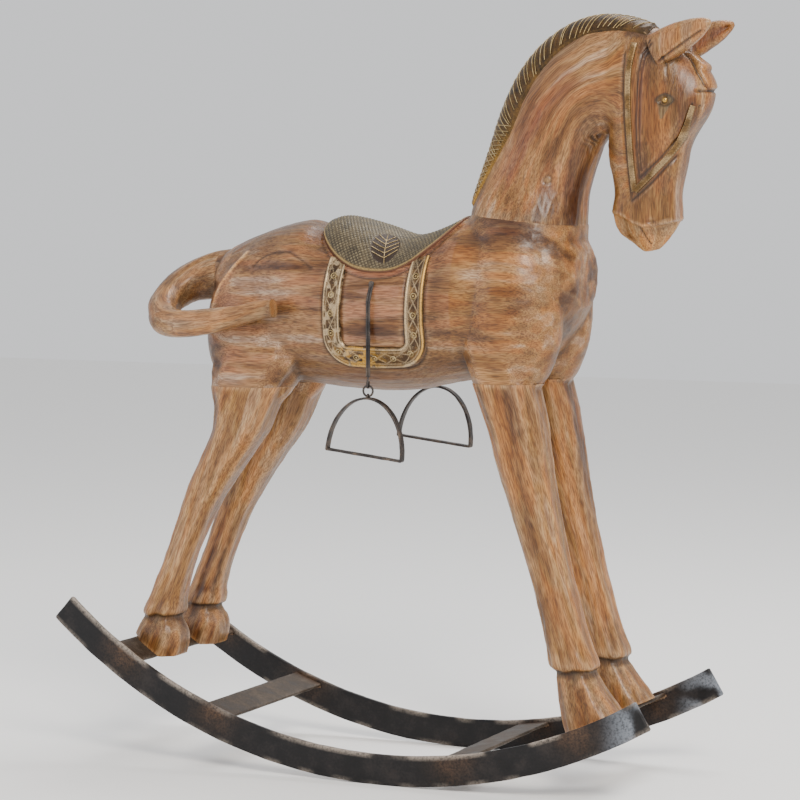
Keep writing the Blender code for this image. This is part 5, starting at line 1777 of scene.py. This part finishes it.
def stained_wood():
    """Carved hardwood: red-brown stain rubbed back along the grain, grey wash in hollows, painted shade and a
    painted highlight where noted, satin varnish.
    """
    material, tree, shader = new_finish("stained_wood", **{
        "Coat Weight": 0.22, "Coat Roughness": 0.24, "Specular IOR Level": 0.32,
    })
    marks = {}
    for name in MARKS:
        node = add_node(tree, "ShaderNodeAttribute", attribute_name=name)
        marks[name] = node.outputs["Vector" if name == "grain" else "Fac"]
    noises = {}
    for name, along_mm, across_mm, detail, rough in (
        ("hair", 16, 1.0, 2, 0.5), ("fibre", 95, 3.6, 3, 0.5), ("streak", 190, 18, 2, 0.5),
        ("board", 170, 50, 2, 0.5), ("fleck", 100, 16, 2, 0.42),
    ):
        across = 1000 / across_mm
        scaled = add_node(
            tree, "ShaderNodeVectorMath", operation="MULTIPLY",
            values={1: (1000 / along_mm, across, across)}, links={0: marks["grain"]},
        )
        noise = add_node(
            tree, "ShaderNodeTexNoise", values={"Scale": 1.0, "Detail": detail, "Roughness": rough},
            links={"Vector": scaled.outputs[0]},
        )
        noises[name] = noise.outputs["Fac"]
    tone = add_node(
        tree, "ShaderNodeMix", data_type="FLOAT", values={0: 0.5},
        links={2: noises["board"], 3: noises["streak"]},
    )
    stretched = add_node(
        tree, "ShaderNodeMapRange",
        values={"From Min": 0.39, "From Max": 0.6}, links={"Value": tone.outputs[0]},
    )
    stain = set_stops(
        add_node(tree, "ShaderNodeValToRGB", links={0: stretched.outputs[0]}), STAIN_STOPS,
    )
    colour = stain.outputs["Color"]
    for mark, noise, low, high, strength, tint in (
        ("pink", "fleck", 0.44, 0.6, 0.75, "#a48474"),
        ("ochre", "board", 0.3, 0.6, 0.7, "#a0742c"),
        ("red", "streak", 0.25, 0.55, 0.85, "#6b3420"),
        ("wash", "fleck", 0.38, 0.6, 0.85, "#7c735c"),
        # Dark brown where shade_and_umber is noted: painted shade, and a darker tone
        ("shade_and_umber", "streak", 0.1, 0.45, 0.8, "#4c3218"),
        # Pale on crests, and a painted highlight along the rump ridge
        ("pale", "fleck", 0.25, 0.5, 0.9, "#c9a67a"),
    ):
        colour = tinted(tree, colour, noises[noise], low, high, strength, marks[mark], tint)
    for noise, low, high, strength, stops in (
        ("fleck", 0.0, 1.0, 0.55, ((0.38, "#d3bfba"), (0.47, "#ffffff"), (0.58, "#ffcb7c"))),
        ("fibre", 0.3, 0.7, 0.22, ((0.1, "#5e3a1c"), (0.42, "#c9a98c"), (0.6, "#ffffff"))),
        ("hair", 0.3, 0.7, 0.6, ((0.1, "#43250f"), (0.42, "#bf9d80"), (0.62, "#ffffff"))),
    ):
        shown = add_node(
            tree, "ShaderNodeMapRange",
            values={"From Min": low, "From Max": high}, links={"Value": noises[noise]},
        )
        shade = set_stops(add_node(tree, "ShaderNodeValToRGB", links={0: shown.outputs[0]}), stops)
        layer = add_node(
            tree, "ShaderNodeMix", data_type="RGBA", blend_type="MULTIPLY", values={0: strength},
            links={6: colour, 7: shade.outputs["Color"]},
        )
        colour = layer.outputs[2]
    # Near-black in the cut lines and in patches along the seams
    crevice = add_node(
        tree, "ShaderNodeMath", operation="MULTIPLY", use_clamp=True,
        values={1: 0.93}, links={0: marks["dark"]},
    )
    layer = add_node(
        tree, "ShaderNodeMix", data_type="RGBA", values={7: hex_colour("#20150d")},
        links={0: crevice.outputs[0], 6: colour},
    )
    colour = layer.outputs[2]
    tree.links.new(colour, shader.inputs["Base Color"])
    gloss = add_node(
        tree, "ShaderNodeMapRange", values={"From Min": 0.3, "From Max": 0.7, "To Min": 0.32, "To Max": 0.48},
        links={"Value": noises["streak"]},
    )
    dull = add_node(
        tree, "ShaderNodeMath", operation="MULTIPLY_ADD", use_clamp=True, values={1: 0.2},
        links={0: marks["wash"], 2: gloss.outputs[0]},
    )
    tree.links.new(dull.outputs[0], shader.inputs["Roughness"])
    height = add_node(
        tree, "ShaderNodeMath", operation="MULTIPLY_ADD", values={1: 0.7},
        links={0: noises["hair"], 2: noises["fibre"]},
    )
    bump = add_node(
        tree, "ShaderNodeBump",
        values={"Strength": 0.45, "Distance": 0.0009}, links={"Height": height.outputs[0]},
    )
    tree.links.new(bump.outputs[0], shader.inputs["Normal"])
    return material


def layered_metal(name, ground, layers, metallic, roughness, grit_mm, bump_mm, shine=0.5):
    """Return an old metal finish: a mottled ground, then tints by the marks noted on the piece."""
    material, tree, shader = new_finish(name, **{"Metallic": metallic, "Specular IOR Level": shine})
    place = add_node(tree, "ShaderNodeTexCoord").outputs["Object"]
    broad = add_node(
        tree, "ShaderNodeTexNoise",
        values={"Scale": 1000 / (grit_mm * 8), "Detail": 3.0}, links={"Vector": place},
    )
    grit = add_node(
        tree, "ShaderNodeTexNoise", values={"Scale": 1000 / grit_mm, "Detail": 4.0, "Roughness": 0.7},
        links={"Vector": place},
    )
    both = add_node(
        tree, "ShaderNodeMath", operation="MULTIPLY_ADD", values={1: 0.5},
        links={0: grit.outputs["Fac"], 2: broad.outputs["Fac"]},
    )
    ramp = set_stops(
        add_node(tree, "ShaderNodeValToRGB"), ((0.0, ground[0]), (0.5, ground[1]), (1.0, ground[2])),
    )
    shown = add_node(
        tree, "ShaderNodeMapRange",
        values={"From Min": 0.5, "From Max": 1.0}, links={"Value": both.outputs[0]},
    )
    tree.links.new(shown.outputs[0], ramp.inputs[0])
    colour = ramp.outputs["Color"]
    for mark, low, high, strength, tint in layers:
        noted = add_node(tree, "ShaderNodeAttribute", attribute_name=mark)
        colour = tinted(tree, colour, grit.outputs["Fac"], low, high, strength, noted.outputs["Fac"], tint)
    tree.links.new(colour, shader.inputs["Base Color"])
    rough = add_node(
        tree, "ShaderNodeMapRange",
        values={"From Min": 0.3, "From Max": 0.7, "To Min": roughness[0], "To Max": roughness[1]},
        links={"Value": broad.outputs["Fac"]},
    )
    tree.links.new(rough.outputs[0], shader.inputs["Roughness"])
    bump = add_node(
        tree, "ShaderNodeBump", values={"Strength": 0.5, "Distance": bump_mm / 1000},
        links={"Height": grit.outputs["Fac"]},
    )
    tree.links.new(bump.outputs[0], shader.inputs["Normal"])
    return material


# Each finish is named for the real one, and says what the eye sees of it
STAINED_WOOD = stained_wood()
# Embossed brass gone brown, with gold where hands and cloth rub it; the bright gold along the border's front
# edge is a painted highlight
AGED_BRASS = layered_metal(
    "aged_brass", ("#1f160e", "#4a3520", "#7f6038"),
    (("high", 0.28, 0.52, 0.92, "#ccb38c"), ("gold", 0.28, 0.54, 0.95, "#d9a33c")),
    0.55, (0.34, 0.52), 1.6, 0.35,
)
# Dark gold-brown brass of the mane
MANE_BRASS = layered_metal(
    "mane_brass", ("#1b1208", "#3a2811", "#5c401c"),
    (("high", 0.25, 0.55, 0.45, "#a07a3c"), ("gold", 0.3, 0.6, 0.7, "#c3923c")),
    0.55, (0.34, 0.5), 1.6, 0.35,
)
# Hatched saddle sheet under an olive-grey patina, dirt between the raised crossings
SADDLE_SHEET = layered_metal(
    "saddle_sheet", ("#1d160e", "#33291b", "#4a3d29"),
    (
        ("high", 0.3, 0.6, 0.85, "#8d7f60"), ("roll", 0.2, 0.55, 0.85, "#b08f54"),
        ("red", 0.1, 0.4, 0.9, "#5c3520"), ("leaf", 0.1, 0.4, 0.94, "#2b1c10"),
    ),
    0.35, (0.4, 0.58), 1.4, 0.25,
)
# Pale rubbed lines on the mane and the leaf's veins
RUBBED_LINES = layered_metal(
    "rubbed_brass_lines", ("#7d6a40", "#a18a5e", "#c2ae84"), (), 0.45, (0.36, 0.5), 1.2, 0.2,
)
# A tack head kept bright
TACK_BRASS = layered_metal("tack_brass", ("#8f6a2c", "#b98f45", "#d8b877"), (), 0.85, (0.26, 0.38), 0.9, 0.15)
# Wrought strip and wire, blue-black with rust
DARK_IRON = layered_metal(
    "dark_rusty_iron", ("#1d1a19", "#3d3836", "#6a5c50"), (("slot", 0.1, 0.4, 0.9, "#0d0b0b"),),
    0.55, (0.42, 0.6), 1.8, 0.25,
)
# Black paint gone grey on top, beige where it is rubbed off, rust at the welds
BLACK_PAINT = layered_metal(
    "worn_black_paint", ("#0a090a", "#141213", "#262221"),
    (
        ("rust", 0.3, 0.6, 0.8, "#5d4430"), ("worn", 0.28, 0.55, 0.85, "#a2968a"),
        ("rubbed", 0.25, 0.55, 0.8, "#7d838c"),
    ),
    0.0, (0.4, 0.62), 3.0, 0.3, 0.28,
)
# Crossbars: thin dark wash over bare iron, so they look brown-grey
BAR_PAINT = layered_metal(
    "crossbar_paint", ("#1f1a14", "#382f26", "#564b40"),
    (("rust", 0.3, 0.6, 0.8, "#4a3322"), ("worn", 0.36, 0.64, 0.45, "#7a7066")),
    0.2, (0.42, 0.62), 2.6, 0.3, 0.28,
)
# Weld beads, brown and scaly
RUSTY_WELD = layered_metal("rusty_weld", ("#3a2b20", "#5e4632", "#8a6d50"), (), 0.2, (0.55, 0.75), 1.5, 0.4)


# Every piece, what it is laid on and which node it stands for

NODES = {}
SIDES = (("right", -1), ("left", 1))
MANE_LINE_THICKNESS = 0.0009
LEAF_VEIN_THICKNESS = 0.001
STAMP_SIZES = {"Ring Radius": 0.0034, "Ring Wire": 0.0006, "Head Radius": 0.0012}


def finish_piece(item, node, material=None):
    """Keep a piece for its node, smooth-shaded and in its finish."""
    if material is not None:
        item.data.materials.clear()
        item.data.materials.append(material)
    for polygon in item.data.polygons:
        polygon.use_smooth = True
    NODES.setdefault(node, []).append(item)


SKIN = carved_skin(SKIN_VOXEL, SKIN_SMOOTHING)
SKIN_TREE = tree_of(SKIN)
HEAD_SKIN = carved_skin(HEAD_VOXEL, HEAD_SMOOTHING)
LIMBS = [limb + word for limb in ("front_leg_", "hind_leg_") for word, _ in SIDES]
WOOD = part_pieces(SKIN, ["torso", "tail"] + LIMBS)
WOOD.update(part_pieces(HEAD_SKIN, ["neck_and_head"]))
for spare in (SKIN, HEAD_SKIN):
    bpy.data.objects.remove(spare, do_unlink=True)
CARVED = {"torso": carve_torso, "tail": carve_tail, "neck_and_head": carve_head}
for name, item in WOOD.items():
    stain = CARVED[name](item) if name in CARVED else carve_leg(name, item)
    for word, values in zip(MARKS, stain):
        note(item, word, values)
    finish_piece(item, name, STAINED_WOOD)

LINE_TREE = line_tree()
STAMP_TREE = stamp_tree()
finish_piece(mane_piece(SKIN_TREE), "mane", MANE_BRASS)
MANE_PATHS = mane_line_paths(SKIN_TREE)
finish_piece(lines_piece("mane_lines", MANE_PATHS, LINE_TREE, MANE_LINE_THICKNESS, RUBBED_LINES), "mane")
finish_piece(seat_piece(SKIN_TREE), "saddle_seat", SADDLE_SHEET)
VEINS = lines_piece("saddle_leaf_veins", leaf_paths(SKIN_TREE), LINE_TREE, LEAF_VEIN_THICKNESS, RUBBED_LINES)
finish_piece(VEINS, "saddle_seat")
for word, side in SIDES:
    border = "blanket_border_" + word
    finish_piece(border_piece(SKIN_TREE, side, word), border, AGED_BRASS)
    spots, runs = border_spots(SKIN_TREE, side)
    rings = stamps_piece(border + "_rings", spots, runs, STAMP_TREE, STAMP_SIZES, RUBBED_LINES)
    finish_piece(rings, border)
    for label, path, narrow in (("cheek", CHEEK_BAND, 1.0), ("nose", NOSE_BAND, 0.7)):
        band = band_piece("bridle_%s_%s_band" % (word, label), SKIN_TREE, side, path, narrow)
        finish_piece(band, "bridle_" + word, AGED_BRASS)
    finish_piece(eye_piece(word, side, SKIN_TREE), "eye_tack_" + word, TACK_BRASS)
    for part in strap_piece(word, side, SKIN_TREE):
        finish_piece(part, "stirrup_strap_" + word, DARK_IRON)
    finish_piece(hook_piece(word, side), "stirrup_hook_" + word, DARK_IRON)
    finish_piece(ring_piece(word, side), "stirrup_ring_" + word, DARK_IRON)
    for part in stirrup_piece(word, side):
        finish_piece(part, "stirrup_" + word, DARK_IRON)
    finish_piece(runner_piece(word, side), "runner_" + word, BLACK_PAINT)
for name in BAR_ANGLES_DEG:
    finish_piece(crossbar_piece(name), name, BAR_PAINT)
    for word, side in SIDES:
        finish_piece(weld_piece(name, word, side), name, RUSTY_WELD)

BODY = list(frame["bodies"])[0]
for node, items in NODES.items():
    for item in items:
        move_points(item, placed(points_of(item)))
        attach(item, BODY)
        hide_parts(node)


# Floor, light and camera

def aim_at(item, place, aim):
    """Set an object down at a place, turned to face a spot."""
    item.location = place
    item.rotation_euler = (Vector(aim) - item.location).to_track_quat("-Z", "Y").to_euler()


for name, place, aim, size, power, colour in (
    ("key_light", (1.9, -2.2, 2.4), (0.05, 0, 0.5), 1.1, 115, "#fff8ee"),
    ("fill_light", (-2.2, -2.0, 1.2), (0, 0, 0.4), 2.0, 18, "#eef3ff"),
    ("top_light", (0.4, 0.9, 2.6), (0, 0, 0.6), 1.2, 42, "#ffffff"),
):
    lamp = bpy.data.lights.new(name, "AREA")
    lamp.size = size
    lamp.energy = power
    lamp.color = hex_colour(colour)[:3]
    aim_at(linked(name, lamp), place, aim)

FLOOR_REACH = 6.0
FLOOR_Z = -0.0005
floor_mesh = bpy.data.meshes.new("studio_floor")
corners = ((-1, -1), (1, -1), (1, 1), (-1, 1))
floor_mesh.from_pydata([(x * FLOOR_REACH, y * FLOOR_REACH, FLOOR_Z) for x, y in corners], [], [(0, 1, 2, 3)])
paper, _, paper_shader = new_finish("studio_paper", Roughness=0.9)
paper_shader.inputs["Base Color"].default_value = hex_colour("#f4f3f1")
floor_mesh.materials.append(paper)
floor = linked("studio_floor", floor_mesh)

world = bpy.data.worlds.new("studio_air")
world.use_nodes = True
air = world.node_tree.nodes["Background"].inputs
air["Color"].default_value = hex_colour("#f3f4f6")
air["Strength"].default_value = 1.0
bpy.context.scene.world = world

camera_data = bpy.data.cameras.new("photo_camera")
camera_data.lens = LENS_MM
camera_data.sensor_width = SENSOR_MM
camera = linked("photo_camera", camera_data)
aim_at(camera, placed(CAMERA_PLACE), placed(CAMERA_AIM))
bpy.context.scene.camera = camera
